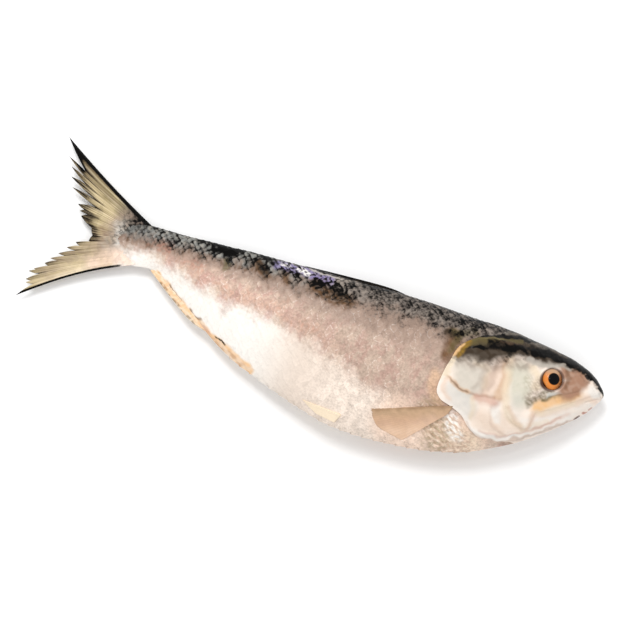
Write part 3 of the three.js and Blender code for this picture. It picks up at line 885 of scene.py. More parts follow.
def headMesh():
    # rings from the snout to the margin, then a round lip, an inner face and a cap inside the body
    rowShare = np.linspace(0, 1, head["rows"] + 1)[1:, None] ** head["crowding"]
    flanks, _, height = bothFlanks(head, lambda margin: rowShare * margin)
    skin = joinFlanks(*[bodySkin(*flank) for flank in flanks])
    x, y = skin[..., 0], skin[..., 1]
    normal = gridNormals(skin)
    ahead = np.abs(lineField(x, y, marginPlan[::6])[0])
    flush = flushShare(height)
    lift = head["gillRaise"] * (1 - smoothStep(ahead, 0, head["gillRise"])) * (1 - flush)
    dip = -head["flushDip"] * (1 - smoothStep(ahead, 0, 4)) * flush * (rowShare > 0.6)
    places = pressFlat(skin + normal * (headRelief(x, y) + lift + dip)[..., None])

    tangent = places[-1] - places[-3]
    tangent /= np.linalg.norm(tangent, axis=-1, keepdims=True)
    radius = head["lipRadius"]
    lip = [
        places[-1] + tangent * radius * np.sin(turn) - normal[-1] * radius * (1 - np.cos(turn))
        for turn in np.radians(head["lipTurns"])
    ]
    back = [places[-1 - k] - normal[-1 - k] * 2 * radius for k in head["returnRows"]]
    cap = [mix(back[-1], hiddenCore, share) for share in (0.3, 0.6, 0.85)]
    inner = pressFlat(np.stack(lip + back + cap))

    wash, ink = headPaint(x, y)
    layers = {"wash": wash, "pigmentAndHighlight": np.stack([ink, 0 * ink, 0 * ink], -1)}
    shown = {k: np.concatenate([v, np.repeat(v[-1:], len(inner), 0)]) for k, v in layers.items()}
    poles = np.stack([bodySkin(np.array(0.0), np.array(0.0), 1), hiddenCore])
    ends = {k: np.stack([v[0].mean(0), v[-1].mean(0)]) for k, v in shown.items()}
    return ringMesh("head", np.concatenate([places, inner]), poles, shown, ends)


trunk = {
    "rows": 430,
    "upperColumns": 128,
    "lowerColumns": 92,
    "samples": 800,  # stations that set the rings' even spacing, from the one under the head
    "underHead": 250,
    "overlap": 0.55,  # stations that the trunk reaches in under the head
    "flushDip": 1.2,
    "stationStep": 28,  # mm from one station to the next behind the head
    "scutePitch": 8.0,  # the keel's row of small scutes
    "scuteHeight": 0.7,
    "scuteReach": 2.4,
    "scutesFrom": [-266, -256],
    "scutesTo": [-66, -80],
    "dents": 0.28,
    "strayAlong": 0.24,  # how far the scales stray from their rows, in scales
    "strayAcross": 0.34,
    "whiteGrain": 0.25,  # how much the scales show on the white, beside the rest
    "highlightTicks": 0.5,
    "tailInk": 0.75,  # share of the black that is left at the tail
    "plainNet": 0.6,  # how much of the net is gone toward the head and toward the tail
}
flankBands = {
    # along the fish: mm below the back's edge at which the dark back ends and the white belly begins
    "x": [-350, -330, -300, -270, -240, -200, -160, -110],
    "darkEnd": [17.5, 14, 15.5, 16.5, 19.5, 22.5, 26, 24],
    "whiteFrom": [23, 21.5, 31, 42, 44, 54.5, 71, 84],
    # down the dark back and on, as a share of its depth: the amount of black pigment
    "share": [0, 0.2, 0.4, 0.6, 0.8, 1, 1.2, 1.6],
    "ink": [0.84, 0.74, 0.6, 0.46, 0.34, 0.16, 0, -0.3],
}
trunkStrokes = [
    # blotches along the back
    ("bare", 4, 4, 0.4, [(-334, 12.5), (-314, 13.5), (-294, 15)], 0.7, 3),
    ("ink", 4, 3, 0.6, [(-287, 15.5), (-280, 15.6), (-275, 16.2)]),
    ("ink", 3, 3, 0.5, [(-279, 14), (-278, 9.5)]),
    ("olive", 1.5, 3, 0.8, [(-277.4, 8), (-276.6, 2.5)]),
    ("umber", 4, 3.5, 0.95, [(-256, 12), (-249, 6)], 0.3, 5),
    ("bark", 2, 3, 0.8, [(-255, 12), (-250, 8)]),
    ("umber", 2, 3, 0.8, [(-236, 11), (-234, 5.5)], 0.3, 5),
    ("umber", 6, 5, 1.0, [(-213, 9.5), (-202, 5), (-190, 5)], 0.5, 3.6),
    ("bark", 4, 4, 0.8, [(-212, 10), (-203, 7), (-190, 6)], 1.0, 2.6),
    ("ink", 5, 5, 0.3, [(-212, 10), (-203, 6), (-190, 6)], 1.0, 3),
    # painted reflection: violet and white glare on the wet back, with black between
    ("lilac", 4.5, 2.5, 0.85, [(-243, 16), (-232, 16.4), (-220, 16.4), (-204, 16)], 0.4, 2.6),
    ("ink", 4, 2.5, 0.25, [(-240, 13.5), (-226, 13), (-202, 14)], 1.0, 3.4),
    ("bare", 4, 2, 0.85, [(-242, 16.6), (-230, 17), (-216, 16.4), (-203, 16)], 0.9, 2.2),
    ("white", 1.4, 1.2, 0.9, [(-240.6, 17.4), (-235.5, 17.4)], 0.8, 2),
    ("white", 2.6, 1.4, 0.95, [(-228.6, 17), (-224.4, 16.4), (-220.6, 15.4)], 0.7, 2),
    # pale skin where the folded fin rises from the back
    ("mist", 0.3, 1.0, 0.9, [(-220.5, 19.4), (-213.5, 19.4), (-206, 19), (-198, 18.8)]),
    ("bare", 0.4, 1.0, 0.9, [(-220.5, 19.4), (-213.5, 19.4), (-206, 19), (-198, 18.8)]),
    # behind the gill cover
    ("dun", 8, 14, 0.55, [(-170, -2), (-140, -3), (-118, -8), (-114, -22)], 0.3, 5),
    ("umber", 3, 5.5, 0.95, [(-113.5, 5.5), (-111.6, 1.4), (-112.4, -4), (-113.6, -11.2)], 0.2, 5),
    ("olive", 1.6, 3, 0.6, [(-109.4, 4.4), (-110.6, -0.6), (-112, -6.4)]),
    ("bark", 2.4, 3, 0.9, [(-117, 4.8), (-113, 5.8), (-108.6, 7)]),
    ("ink", 1, 2.6, 0.35, [(-116, 5.6), (-112, 6.2), (-107, 7.6)]),
    ("moss", 2, 4, 0.5, [(-113, 7.4), (-106.4, 7.4), (-99.8, 11)], 0.5, 5),
    ("ink", 6, 5, 0.16, [(-118, 12), (-108, 12), (-96, 16)], 0.5, 5),
    ("peach", 3, 5, 0.6, [(-117.5, -26), (-116, -34), (-110, -42)]),
    # breast
    ("petal", 22, 14, 0.8, [(-132, -64), (-116, -68), (-96, -66), (-84, -62)]),
    ("cream", 6, 10, 0.6, [(-104, -60), (-92, -62), (-80, -63)], 0.3, 5),
    ("moss", 8, 10, 0.6, [(-112, -50), (-106, -58), (-102, -68)], 1.0, 3.4),
    ("tan", 12, 10, 0.6, [(-112, -52), (-102, -60), (-88, -66)], 1.0, 2.6),
    # painted glints: white flecks on the silvery breast
    ("white", 4, 5, 0.9, [(-98, -50.4), (-94, -57), (-90, -61)], 1.0, 3),
    # strip along the keel ahead of and beside the anal fin
    ("apricot", 3.2, 2.2, 0.9, [(-322.1, -15.5), (-303.2, -28), (-292.7, -35.2), (-280.7, -42),
     (-265.7, -48.6), (-250.1, -55.8), (-240, -60.5)], 0.3, 5),
    ("tan", 0.8, 2.2, 0.55, [(-322.1, -17), (-303.2, -29.5), (-280.7, -43.5), (-262, -51.5),
     (-246, -58.5)], 0.8, 5),
    ("umber", 0.6, 1.2, 0.75, [(-311, -20.5), (-305.2, -24.8), (-301.2, -27.6)]),
    ("umber", 0.6, 1.2, 0.75, [(-293, -32.3), (-288.1, -35.5), (-284, -37)], 0.6, 5),
    ("salmon", 0.8, 1.6, 0.5, [(-283.3, -40.3), (-274.1, -43.8)]),
    ("ink", 0.5, 0.9, 1.3, [(-269.5, -45.3), (-262.2, -47.9)]),
]


def scalePlace(x):
    # scales passed since the head: steps along x over the pitch, which shrinks toward the tail
    runX = np.linspace(-380, 0, 800)
    pitch = mix(scaleRows["tailPitch"], scaleRows["pitch"], smoothStep(runX, *scaleRows["tailReach"]))
    run = np.cumsum((runX[1] - runX[0]) / pitch)
    return -np.interp(x, runX, run), np.interp(x, runX, pitch)


def scaleCover(place, row):
    # the skin material's tiles: how near its scale's rear edge a point is, and a lot for each scale
    folded = np.abs((row + 1) % 2 - 1)
    families = []
    for shift, drop in ((0.0, folded), (0.5, 1 - folded)):
        phase = place + scaleRows["bow"] * drop**2 + shift
        number = np.floor(phase) * 12.99 + np.floor(row / 2 + 0.5 - shift) * 78.23 + shift
        families.append((phase % 1, number))
    over = families[0][0] > families[1][0]
    cover, number = (np.where(over, *pair) for pair in zip(*families))
    return cover, (np.sin(number) * 43758.55) % 1  # the fraction of a large sine is as good as random


def scaleRelief(place, row, show):
    # each scale rises to its rear edge and drops there, some scales more than others
    cover, lot = scaleCover(place, row)
    rise = np.clip((cover - 0.5) * 2, 0, 1) ** 1.4 - 0.4
    return scaleRows["height"] * rise * show * mix(0.6, 1.4, lot)


def flankPaint(x, y, down):
    # bands below the back: slate, taupe, dun, rosy, then white under a line that drops toward the head,
    # each fading into the next over a wandering border, with black pigment over the first
    reach = np.interp(x, flankBands["x"], flankBands["darkEnd"])
    depth = down / reach + 0.1 * softNoise(x, y, 15, 31) + 0.07 * softNoise(x, y, 5, 32)
    blotch = softNoise(x, y, 14, 34)
    fine = softNoise(x, y, 4, 35)
    streak = softNoise(x, y / 3, 2.6, 33)
    towardHead = smoothStep(x, -250, -205)
    wash = lay(washOf(x, "slate"), "mist", 0.6 * smoothStep(fine, -0.1, 0.8))
    wash = lay(wash, "taupe", smoothStep(depth, 0.35, 0.8))
    wash = lay(wash, "dun", smoothStep(depth, 0.7, 1.05))
    wash = lay(wash, "umber", 0.6 * bump(depth, 0.75, 0.28) * smoothStep(streak, 0, 1))
    rosy = lay(washOf(x, "rose"), "sand", smoothStep(blotch + 0.8 * fine, -1.5, 0.9))
    wash = mix(wash, rosy, smoothStep(depth, 0.95, 1.55)[..., None])
    wash = lay(wash, "dun", 0.42 * towardHead)
    # deeper pink along the white, behind the middle of the fish
    line = np.interp(x, flankBands["x"], flankBands["whiteFrom"])
    deep = bump(line - down - 4 * blotch, 9, 6) * smoothStep(fine + 0.6 * blotch, -0.9, 1.2)
    wash = lay(wash, "salmon", 0.5 * deep * smoothStep(x, -170, -215) * smoothStep(x, -348, -322))
    below = down + 2.4 * softNoise(x, y, 18, 36) + 1.6 * softNoise(x, y, 5, 37)
    pale = smoothStep(below + 1.2 * softNoise(x, y, 2.4, 38), line - 9, line + 7)
    wash = mix(wash, lay(washOf(x, "white"), "shell", towardHead), pale[..., None])
    return wash, np.interp(depth, flankBands["share"], flankBands["ink"]), pale


def trunkMesh():
    # rings from under the head to the tail, spaced evenly along the fish
    fine = np.linspace(0, lastStation, trunk["samples"])
    fineX = (backEdge(fine)[:, 0] + bellyEdge(fine)[:, 0]) / 2
    evenX = np.linspace(fineX[trunk["underHead"]], fineX[-1], trunk["rows"] + 1)
    evenly = np.interp(evenX, fineX[::-1], fine[::-1])
    share = ((evenly - evenly[0]) / (evenly[-1] - evenly[0]))[:-1, None]
    underHead = trunk["overlap"]
    flanks, station, height = bothFlanks(trunk, lambda margin: mix(margin - underHead, lastStation, share))
    skins = [bodySkin(*flank) for flank in flanks]
    arcs = []
    for flank in skins:
        steps = np.linalg.norm(np.diff(flank[..., 1:], axis=1), axis=-1)
        arcs.append(np.concatenate([np.zeros((len(steps), 1)), np.cumsum(steps, 1)], 1))
    skin = joinFlanks(*skins)
    arc = joinFlanks(*arcs)
    toKeel = joinFlanks(*[a[:, -1:] - a for a in arcs])
    x, y = skin[..., 0], skin[..., 1]
    side = np.where(np.arange(skin.shape[1]) <= trunk["upperColumns"], 1, -1)[None, :]
    normal = gridNormals(skin)

    place, pitch = scalePlace(x)
    place = place + trunk["strayAlong"] * softNoise(x, y, 12, 21)
    row = arc / (pitch * scaleRows["acrossShare"]) + trunk["strayAcross"] * softNoise(x, y, 14, 22)
    behind = (station - hoodStation(height)) * trunk["stationStep"]
    showScales = smoothStep(behind, -6, 1) * smoothStep(toKeel, 0.5, 3.5)
    relief = scaleRelief(place, row, showScales)
    relief += trunk["dents"] * softNoise(x + 9 * side, y, 38, 23) * smoothStep(behind, -4, 12)
    tooth = (-x / trunk["scutePitch"]) % 1
    scutes = trunk["scuteHeight"] * tooth**2 * bump(toKeel, 0, trunk["scuteReach"])
    relief += scutes * smoothStep(x, *trunk["scutesFrom"]) * smoothStep(x, *trunk["scutesTo"])
    relief -= trunk["flushDip"] * smoothStep(behind, -4, -8) * flushShare(height)
    places = pressFlat(skin + normal * relief[..., None])

    down = nearBack(x, y)
    wash, ink, pale = flankPaint(x, y, down)
    wash, ink = paintStrokes(x, y, wash, ink, trunkStrokes)
    grain = mix(1, trunk["whiteGrain"], pale * smoothStep(x, -170, -215))
    # painted highlights on the rear edges of scales below the dark back and behind the gill cover
    highlightTicks = trunk["highlightTicks"] * smoothStep(down, 10, 22) * smoothStep(behind, 10, 30) * grain
    ink = ink * mix(1, trunk["tailInk"], smoothStep(x, -328, -350))
    # the back shows its scales less toward the head and toward the tail
    plain = trunk["plainNet"] * (smoothStep(x, -215, -170) + smoothStep(x, -325, -345))
    net = showScales * np.clip(2 * ink, 0, 1) * mix(0.5, 1, smoothStep(down, 22, 8)) * (1 - plain)
    layers = {
        "wash": wash,
        "pigmentAndHighlight": np.stack([ink, net, highlightTicks], -1),
        "scaleGrid": np.stack([place, row, grain], -1),
    }
    cap = np.stack([mix(places[0], hiddenCore, part) for part in (0.85, 0.6, 0.3)])
    shown = {k: np.concatenate([np.repeat(v[:1], len(cap), 0), v]) for k, v in layers.items()}
    poles = np.stack([hiddenCore, bodySkin(np.array(lastStation - 1e-6), np.array(0.0), 1)])
    ends = {k: np.stack([v[0].mean(0), v[-1].mean(0)]) for k, v in shown.items()}
    return ringMesh("trunk", np.concatenate([cap, places]), poles, shown, ends)


rayJoint = 1.6  # mm between the joints of a ray
straightUp = np.array([0.0, 0.0, 1.0])


def rayRidges(number):
    # 1 on a ray and 0 half way to the next, rounded: the square of a cosine
    return np.cos(np.pi * number) ** 2


def finMesh(name, sheet, normal, thickness, layers, ridge):
    # both faces of a sheet, parted by its thickness and by the ridges of its rays, meeting at the rim
    rimless = np.zeros(sheet.shape[:2])
    rimless[1:-1, 1:-1] = 1
    parting = (thickness / 2 + ridge * rayRidges(layers["rays"][..., 0])) * rimless
    parting = normal * parting[..., None]
    return leafMesh(name, pressFlat(sheet + parting), pressFlat(sheet - parting), layers)


tail = {
    # the rays end in pointed blades: each tip from top to bottom, and the slit after it
    "tips": [(-411.8, 59.4), (-407.4, 46.2), (-403.9, 39.9), (-401.7, 32.9), (-398.9, 26.1), (-391.3, 15.9),
             (-388.5, 11.5), (-386.8, 8.5), (-376.5, 1.1), (-376.3, -6.5), (-384.7, -10.2), (-389.5, -15.8),
             (-394.0, -21.5), (-398.3, -26.5), (-401.0, -30.9), (-407.1, -37.0), (-410.0, -39.6),
             (-410.3, -45.7), (-409.6, -47.9), (-413.5, -58.8)],
    "slits": [(-392.3, 38.6), (-390.0, 34.0), (-389.6, 30.4), (-380.5, 22.3), (-378.6, 17.4), (-385.8, 13.3),
              (-380.4, 11.3), (-376.9, 2.5), (-374.7, -2.3), (-374.3, -7.0), (-381.2, -12.0),
              (-382.8, -16.1), (-387.7, -21.8), (-392.5, -26.4), (-397.6, -32.2), (-403.5, -37.0),
              (-402.0, -39.4), (-403.1, -45.1), (-404.2, -47.5)],
    "root": [(-334, 15.2), (-346, 9.0), (-350, 0.5), (-347, -7.5), (-338, -12.6)],
    "stepsPerEdge": 10,
    "rows": 84,
    "raysPerBlade": 4.0,
    "bladeCurve": 0.05,  # how far a blade's side bulges, as a share of its length, up to a length
    "curveLength": 9.0,
    "bowTop": 1.5,
    "bowBottom": 4.2,
    "droop": 2.6,
    "wave": 0.5,
    "rootThickness": 3.6,
    "fleshLength": 26.0,  # mm over which the root thins into membrane
    "rayThickness": 1.7,
    "tipThickness": 0.7,
    "ridge": 0.1,
    "scalesFrom": 4,  # mm below the back's edge at which the root's scale rows start, and mm across them
    "scalesAcross": 30,
    "fanTop": [30, 300],  # mm across the fan at its root and at its tips, which places the black edges
    "fanBottom": [28, 150],
}
tailStrokes = [
    ("straw", 2, 7, 0.3, [(-388, 28), (-377.2, 22), (-366, 16)], 0.3, 5),
    ("olive", 2, 5, 0.6, [(-398, 49), (-387.8, 39.8), (-372.9, 29.2), (-360.4, 21.6), (-349.9, 16.1)]),
    ("dun", 9, 11, 0.75, [(-350, 14), (-357, 6.0), (-361, -5.8)], 0.3, 5),
    ("mist", 6, 8, 0.6, [(-352, 10), (-357, 3.0), (-360, -4)], 0.5, 3),
    ("ink", 6, 8, 0.3, [(-346, 12), (-354, 7), (-358, 0)], 1.0, 3),
    ("paleBlue", 2, 5, 0.6, [(-358, 9), (-355, 3), (-354.6, -2)], 0.6, 5),
    ("straw", 8, 8, 0.9, [(-404, -50.5), (-381.7, -32.6), (-362, -20.0)]),
    ("cream", 2, 5, 0.7, [(-398, -49), (-381.7, -34), (-366, -23.0)]),
    ("petal", 5, 7, 0.8, [(-368, -20.5), (-357, -13.4), (-344, -10)]),
    ("taupe", 4, 7, 0.5, [(-398, -36), (-384, -21), (-370, -9)], 0.5, 5),
    ("umber", 3, 5, 0.4, [(-376, -1), (-369, 1.5), (-362, -2)], 0.7, 5),
    ("ink", 5, 1.6, 1.1, [(-411.8, 59.4), (-405, 52.5), (-401, 48)], 0.05, 5),
    ("ink", 1, 1.8, 0.9, [(-404, 48.5), (-400, 44.5), (-395, 40)], 0.05, 5),
]


def tailMesh():
    # rays run straight from the root to the blades' margin, whose sides bulge by a sine;
    # the outer rays bow in by bow (1 - 2t)⁴ sin(pi r)
    corners = np.zeros((2 * len(tail["tips"]) - 1, 2))
    corners[0::2] = tail["tips"]
    corners[1::2] = tail["slits"]
    across = np.linspace(0, 1, (len(corners) - 1) * tail["stepsPerEdge"] + 1)
    place = across * (len(corners) - 1)
    start = np.minimum(np.floor(place).astype(int), len(corners) - 2)
    part = (place - start)[:, None]
    run = corners[start + 1] - corners[start]
    outward = np.stack([run[:, 1], -run[:, 0]], -1)
    shorter = np.minimum(1, tail["curveLength"] / np.linalg.norm(run, axis=-1, keepdims=True))
    margin = corners[start] + run * part + outward * tail["bladeCurve"] * shorter * np.sin(np.pi * part)
    root = smoothLine(tail["root"], across * (len(tail["root"]) - 1))
    out = np.linspace(0, 1, tail["rows"])[:, None]
    plan = mix(root[None], margin[None], out[..., None])
    bow = np.where(across < 0.5, -tail["bowTop"], tail["bowBottom"]) * (1 - 2 * across) ** 4
    x = plan[..., 0]
    y = plan[..., 1] + bow * np.sin(np.pi * out)
    wave = tail["wave"] * (np.sin(9 * across) * out + np.sin(across * 47) * out**3)
    length = np.linalg.norm(margin - root, axis=-1)[None] * out
    membrane = smoothStep(length, 0, tail["fleshLength"])
    spread = across[None] + 0 * out
    reach = out + 0 * across[None]
    rays = np.stack([spread * len(tail["tips"]) * tail["raysPerBlade"], length / rayJoint], -1)

    scaleAlong, pitch = scalePlace(x)
    row = (tail["scalesFrom"] + tail["scalesAcross"] * spread) / (pitch * scaleRows["acrossShare"])
    show = smoothStep(x, -371, -352)
    z = middleHeight(np.array(lastStation - 1.0)) - tail["droop"] * out**1.5 + wave
    z = z + scaleRelief(scaleAlong, row, show)
    thickness = mix(tail["rootThickness"], mix(tail["rayThickness"], tail["tipThickness"], out), membrane)

    # flesh colours at the root give way to the membrane's, with dark streaks out to smoky tips
    wash, ink = flankPaint(x, y, np.maximum(nearBack(x, y), 0))[:2]
    away = smoothStep(x, -350, -366)
    streak = softNoise(520 * spread, 7 * reach, 5, 51)
    wide = softNoise(150 * spread, 5 * reach, 5, 52)
    wash = lay(wash, "membrane", away)
    wash, ink = paintStrokes(x, y, wash, ink * mix(0.75, 0, smoothStep(x, -345, -368)), tailStrokes)
    wash = lay(wash, "taupe", 0.3 * away * smoothStep(streak + 0.6 * wide, 0, 1))
    wash = lay(wash, "cream", 0.4 * away * smoothStep(-streak, 0.1, 1))
    upper = smoothStep(across, 0.56, 0.5)[None]
    blade = np.minimum(np.floor((place + 1) / 2), len(tail["tips"]) - 1)
    smoky = mix(0.8, 0.67, upper) - 0.05 * np.sin(blade * 2.3)[None] + 0.06 * wide
    tips = smoothStep(out, smoky, smoky + 0.26) * mix(0.75, 0.95, upper)
    tips *= mix(0.6, 1, smoothStep(streak, -0.8, 0.4)) * mix(1, 0.3, smoothStep(across, 0.86, 0.94))[None]
    tips *= mix(1, 0.6, bump(np.abs(place % 2 - 1)[None], 0.6, 0.3))
    ink = ink + away * (0.12 * smoothStep(streak, 0.1, 1.0) + 0.04) + 0.85 * tips
    wash = lay(wash, "bark", tips)
    # black edges above and below
    fromTop = spread * mix(*tail["fanTop"], out)
    fromBottom = (1 - spread) * mix(*tail["fanBottom"], out)
    ink = ink + 1.1 * (1 - smoothStep(fromTop, 1.2, 3))
    ink = ink + (1 - smoothStep(fromBottom, 0.9, 1.9)) * smoothStep(out, 0.05, 0.2)
    layers = {
        "wash": wash,
        "pigmentAndHighlight": np.stack([ink, 0.3 * show * np.clip(2 * ink, 0, 1), 0 * ink], -1),
        "scaleGrid": np.stack([scaleAlong, row, 1 + 0 * row], -1),
        "rays": np.concatenate([rays, away[..., None]], -1),
    }
    sheet = np.stack([x, y, z], -1)
    return finMesh("tailFin", sheet, straightUp, thickness, layers, tail["ridge"] * membrane)


dorsalFin = {
    "root": [(-148, 19.0), (-178, 19.0), (-206, 18.2)],
    "margin": [(-147, 21.8), (-164, 23.8), (-192, 22.9), (-225.5, 21)],
    "thickness": 2.8,
    "rays": 18,
    "sweep": 5.0,  # rays crossed between the root and the margin of the folded fin
    "ridge": 0.15,
    "lines": 1.0,  # how dark the lines between the rays are
    "wash": "bark",
    "ink": 0.8,
}
analFin = {
    "root": [(-276, -38.0), (-302, -23.0), (-322, -10.5)],
    "margin": [(-277, -43.6), (-291, -39.0), (-308, -28.0), (-328, -13.8)],
    "thickness": 2.8,
    "rays": 20,
    "sweep": 4.0,
    "ridge": 0.06,
    "lines": 0.3,
    "wash": "cream",
    "ink": 0.05,
}
analStrokes = [
    ("peach", 3, 2.5, 0.8, [(-326, -13), (-306, -27), (-277, -41)], 0.6, 3),
    ("apricot", 1, 2.5, 0.5, [(-326, -13), (-306, -27), (-277, -41)], 0.8, 3),
    ("umber", 0.3, 1.4, 0.7, [(-318, -20.5), (-306, -29.5), (-292, -38.5), (-279, -43.6)], 0.9, 3),
]
pectoralFin = {
    "root": [(-98.5, -41.5), (-99.5, -44.8), (-101.0, -48.0)],
    "margin": [(-152, -60.5), (-145, -70.5), (-125, -75.0)],
    "rootRaise": 1.6,
    "marginRaise": 0.7,
    "thickness": 1.3,
    "rays": 15,
    "sweep": 0.0,
    "ridge": 0.05,
    "lines": 0.22,
    "wash": "peach",
    "ink": 0.0,
}
pelvicFin = {
    "root": [(-170, -70.5), (-171.5, -73.5), (-173, -76.5)],
    "margin": [(-199, -68.5), (-194, -71.5), (-187, -74.8)],
    "rootRaise": 1.2,
    "marginRaise": 0.8,
    "thickness": 1.2,
    "rays": 9,
    "sweep": 0.0,
    "ridge": 0.05,
    "lines": 0.22,
    "wash": "cream",
    "ink": 0.0,
}
pectoralStrokes = [
    ("petal", 4, 9, 0.4, [(-108, -56), (-122, -69), (-138, -74)], 0.3, 5),
    ("tan", 10, 8, 0.55, [(-99, -43), (-118, -52), (-150, -64)], 0.3, 5),
    ("moss", 1, 9, 0.3, [(-99, -42), (-118, -50), (-148, -60)], 0.3, 5),
    # painted shade: a dark line along the fin's upper edge
    ("umber", 0.6, 3.0, 0.45, [(-152, -59.5), (-125.2, -50.6), (-113.5, -46.2), (-98.6, -41.2)]),
]


def fanPlan(fin, columns, rows):
    # straight rays between a root line and a margin line
    across = np.linspace(0, 1, columns)
    out = np.linspace(0, 1, rows)[:, None]
    root = smoothLine(fin["root"], across * (len(fin["root"]) - 1))
    margin = smoothLine(fin["margin"], across * (len(fin["margin"]) - 1))
    plan = mix(root[None], margin[None], out[..., None])
    length = np.linalg.norm(margin - root, axis=-1)[None] * out
    number = across[None] * fin["rays"] - fin["sweep"] * out
    rays = np.stack([number, length / rayJoint, fin["lines"] + 0 * number], -1)
    return plan, across, out, rays


def finLayers(fin, plan, out, rays, strokes):
    # the fin's own colour and pigment, which is blacker toward the margin, then its strokes; no scales
    x, y = plan[..., 0], plan[..., 1]
    ink = fin["ink"] * (1 + 0.3 * smoothStep(out, 0.8, 1.0)) + 0 * x
    wash, ink = paintStrokes(x, y, washOf(x, fin["wash"]), ink, strokes)
    pigmentAndHighlight = np.stack([ink, 0 * ink, 0 * ink], -1)
    grid = np.stack([0 * ink, 0 * ink, 1 + 0 * ink], -1)
    return {"wash": wash, "pigmentAndHighlight": pigmentAndHighlight, "scaleGrid": grid, "rays": rays}


def middleFinMesh(name, fin, strokes):
    # a folded fin in the body's middle plane
    plan, across, out, rays = fanPlan(fin, 150, 24)
    station = bodyPlace(plan[..., 0], np.minimum(plan[..., 1], 15))[0]
    sheet = np.concatenate([plan, middleHeight(station)[..., None]], -1)
    rim = np.sin(np.pi * np.clip(across, 0.02, 0.98))[None] ** 0.3 * (1 - out**4)
    layers = finLayers(fin, plan, out, rays, strokes)
    return finMesh(name, sheet, straightUp, fin["thickness"] * rim, layers, fin["ridge"])


def pairedFinMesh(name, fin, side, strokes):
    # a fan that lies against a flank, raised a little more at its root
    plan, across, out, rays = fanPlan(fin, 84, 60)
    skin = skinAt(plan[..., 0], plan[..., 1], side)
    normal = np.cross(np.gradient(skin, axis=0), np.gradient(skin, axis=1))
    normal /= np.linalg.norm(normal, axis=-1, keepdims=True)
    normal *= np.sign(normal[..., 2:]) * side
    lift = mix(fin["rootRaise"], fin["marginRaise"], out) - fin["thickness"] / 2 - 0.3 * np.sin(3 * across)
    sheet = skin + normal * lift[..., None]
    thickness = fin["thickness"] * (1 - 0.6 * out) * np.ones_like(across)
    return finMesh(name, sheet, normal, thickness, finLayers(fin, plan, out, rays, strokes), fin["ridge"])


eyeLook = {
    "pupil": "#030304",
    "pale": "#bb977a",
    "iris": "#e4883e",
    "gold": "#c99f66",
    "brown": "#6e3a18",
    "rim": "#2a120a",
    "pupilShare": 0.55,
}


def eyeMaterial():
    # Eyeball: a black pupil in an orange iris behind a clear wet cornea, which gives one sharp glint.
    # The iris is paler above, browner ahead, streaked with gold, dark at its rim, and darkened low behind by
    # painted socket shade.
    material, tree = newMaterial("wetEyeJelly")
    place = addNode(tree, "Attribute", {"attribute_name": "eyePlace"})["Vector"]
    parts = addNode(tree, "SeparateXYZ", {}, {0: place})
    radius = addNode(tree, "VectorMath", {"operation": "LENGTH"}, {0: place})["Value"]
    settings = {"Scale": 5.0, "Detail": 3.0, "Roughness": 0.65}
    streak = addNode(tree, "TexNoise", settings, {"Vector": place})["Fac"]
    settings = {"operation": "DOT_PRODUCT", 1: (-0.68, -0.73, 0.0)}
    lowRear = addNode(tree, "VectorMath", settings, {0: place})["Value"]
    # each layer: the colour, what it follows, and where on that it starts and is full
    layers = [
        ("pale", parts[1], -0.1, 0.7),
        ("brown", parts[0], 0.1, 0.85),
        ("gold", streak, 0.5, 0.75),
        # painted shade of the socket over the iris, low behind
        ("rim", lowRear, 0.84, 0.98),
        ("rim", radius, 0.9, 1.03),
        ("pupil", radius, eyeLook["pupilShare"] + 0.05, eyeLook["pupilShare"] - 0.04),
    ]
    colour = None
    for label, source, start, full in layers:
        settings = {"interpolation_type": "SMOOTHSTEP", "From Min": start, "From Max": full}
        share = addNode(tree, "MapRange", settings, {"Value": source})[0]
        settings = {"data_type": "RGBA", 6: hexToLinear(eyeLook["iris"]), 7: hexToLinear(eyeLook[label])}
        links = {0: share, 6: colour} if colour else {0: share}
        colour = addNode(tree, "Mix", settings, links)[2]
    settings = {"Roughness": 0.35, "IOR": 1.376, "Specular IOR Level": 0.02}
    settings.update({"Coat Weight": 0.22, "Coat Roughness": 0.02})
    shader = addNode(tree, "BsdfPrincipled", settings, {"Base Color": colour})
    addNode(tree, "OutputMaterial", {}, {"Surface": shader[0]})
    return material


def eyeMesh(name, side):
    # a flattened ball square to the skin: radius sin t across and bulge cos t out, with the lens a low dome
    atX, atY = eye["at"]
    here, ahead, above = skinAt(np.array([atX, atX + 1, atX]), np.array([atY, atY, atY + 1]), side)
    out = np.cross(ahead - here, above - here)
    out *= side / np.linalg.norm(out)
    forward = (ahead - here) - out * ((ahead - here) @ out)
    forward /= np.linalg.norm(forward)
    upward = np.cross(out, forward) * side
    turn = np.linspace(0, np.pi, 50)[1:-1, None]
    around = np.linspace(0, 2 * np.pi, 96, endpoint=False)[None]
    radius = eye["radius"] * np.sin(turn)
    depth = eye["bulge"] * np.cos(turn) - eye["sunk"] + eye["lens"] * bump(radius, 0, 3.4) * (turn < 1.5)
    ringX = radius * np.cos(around)
    ringY = radius * np.sin(around)
    places = here + ringX[..., None] * forward + ringY[..., None] * upward
    places = places + (depth + 0 * around)[..., None] * out
    shown = np.stack([ringX, ringY, 0 * ringX], -1) / eye["radius"]
    behind = shown / np.maximum(np.linalg.norm(shown, axis=-1, keepdims=True), 1e-6)
    shown = np.where((turn < 1.6)[..., None], shown, behind)
    front, rear = eye["bulge"] - eye["sunk"] + eye["lens"], eye["bulge"] + eye["sunk"]
    poles = np.stack([here + out * front, here - out * rear])
    ends = {"eyePlace": np.array([[0.0, 0, 0], [1.0, 0, 0]])}
    return ringMesh(name, places, poles, {"eyePlace": shown}, ends)


scaledSkin = skinMaterial("wetScaledSkin", scaledLook, True, False)
bareSkin = skinMaterial("wetBareSkin", bareLook, False, False)
finSkin = skinMaterial("wetFinMembrane", finLook, True, True)
eyeJelly = eyeMaterial()
print("materials made")

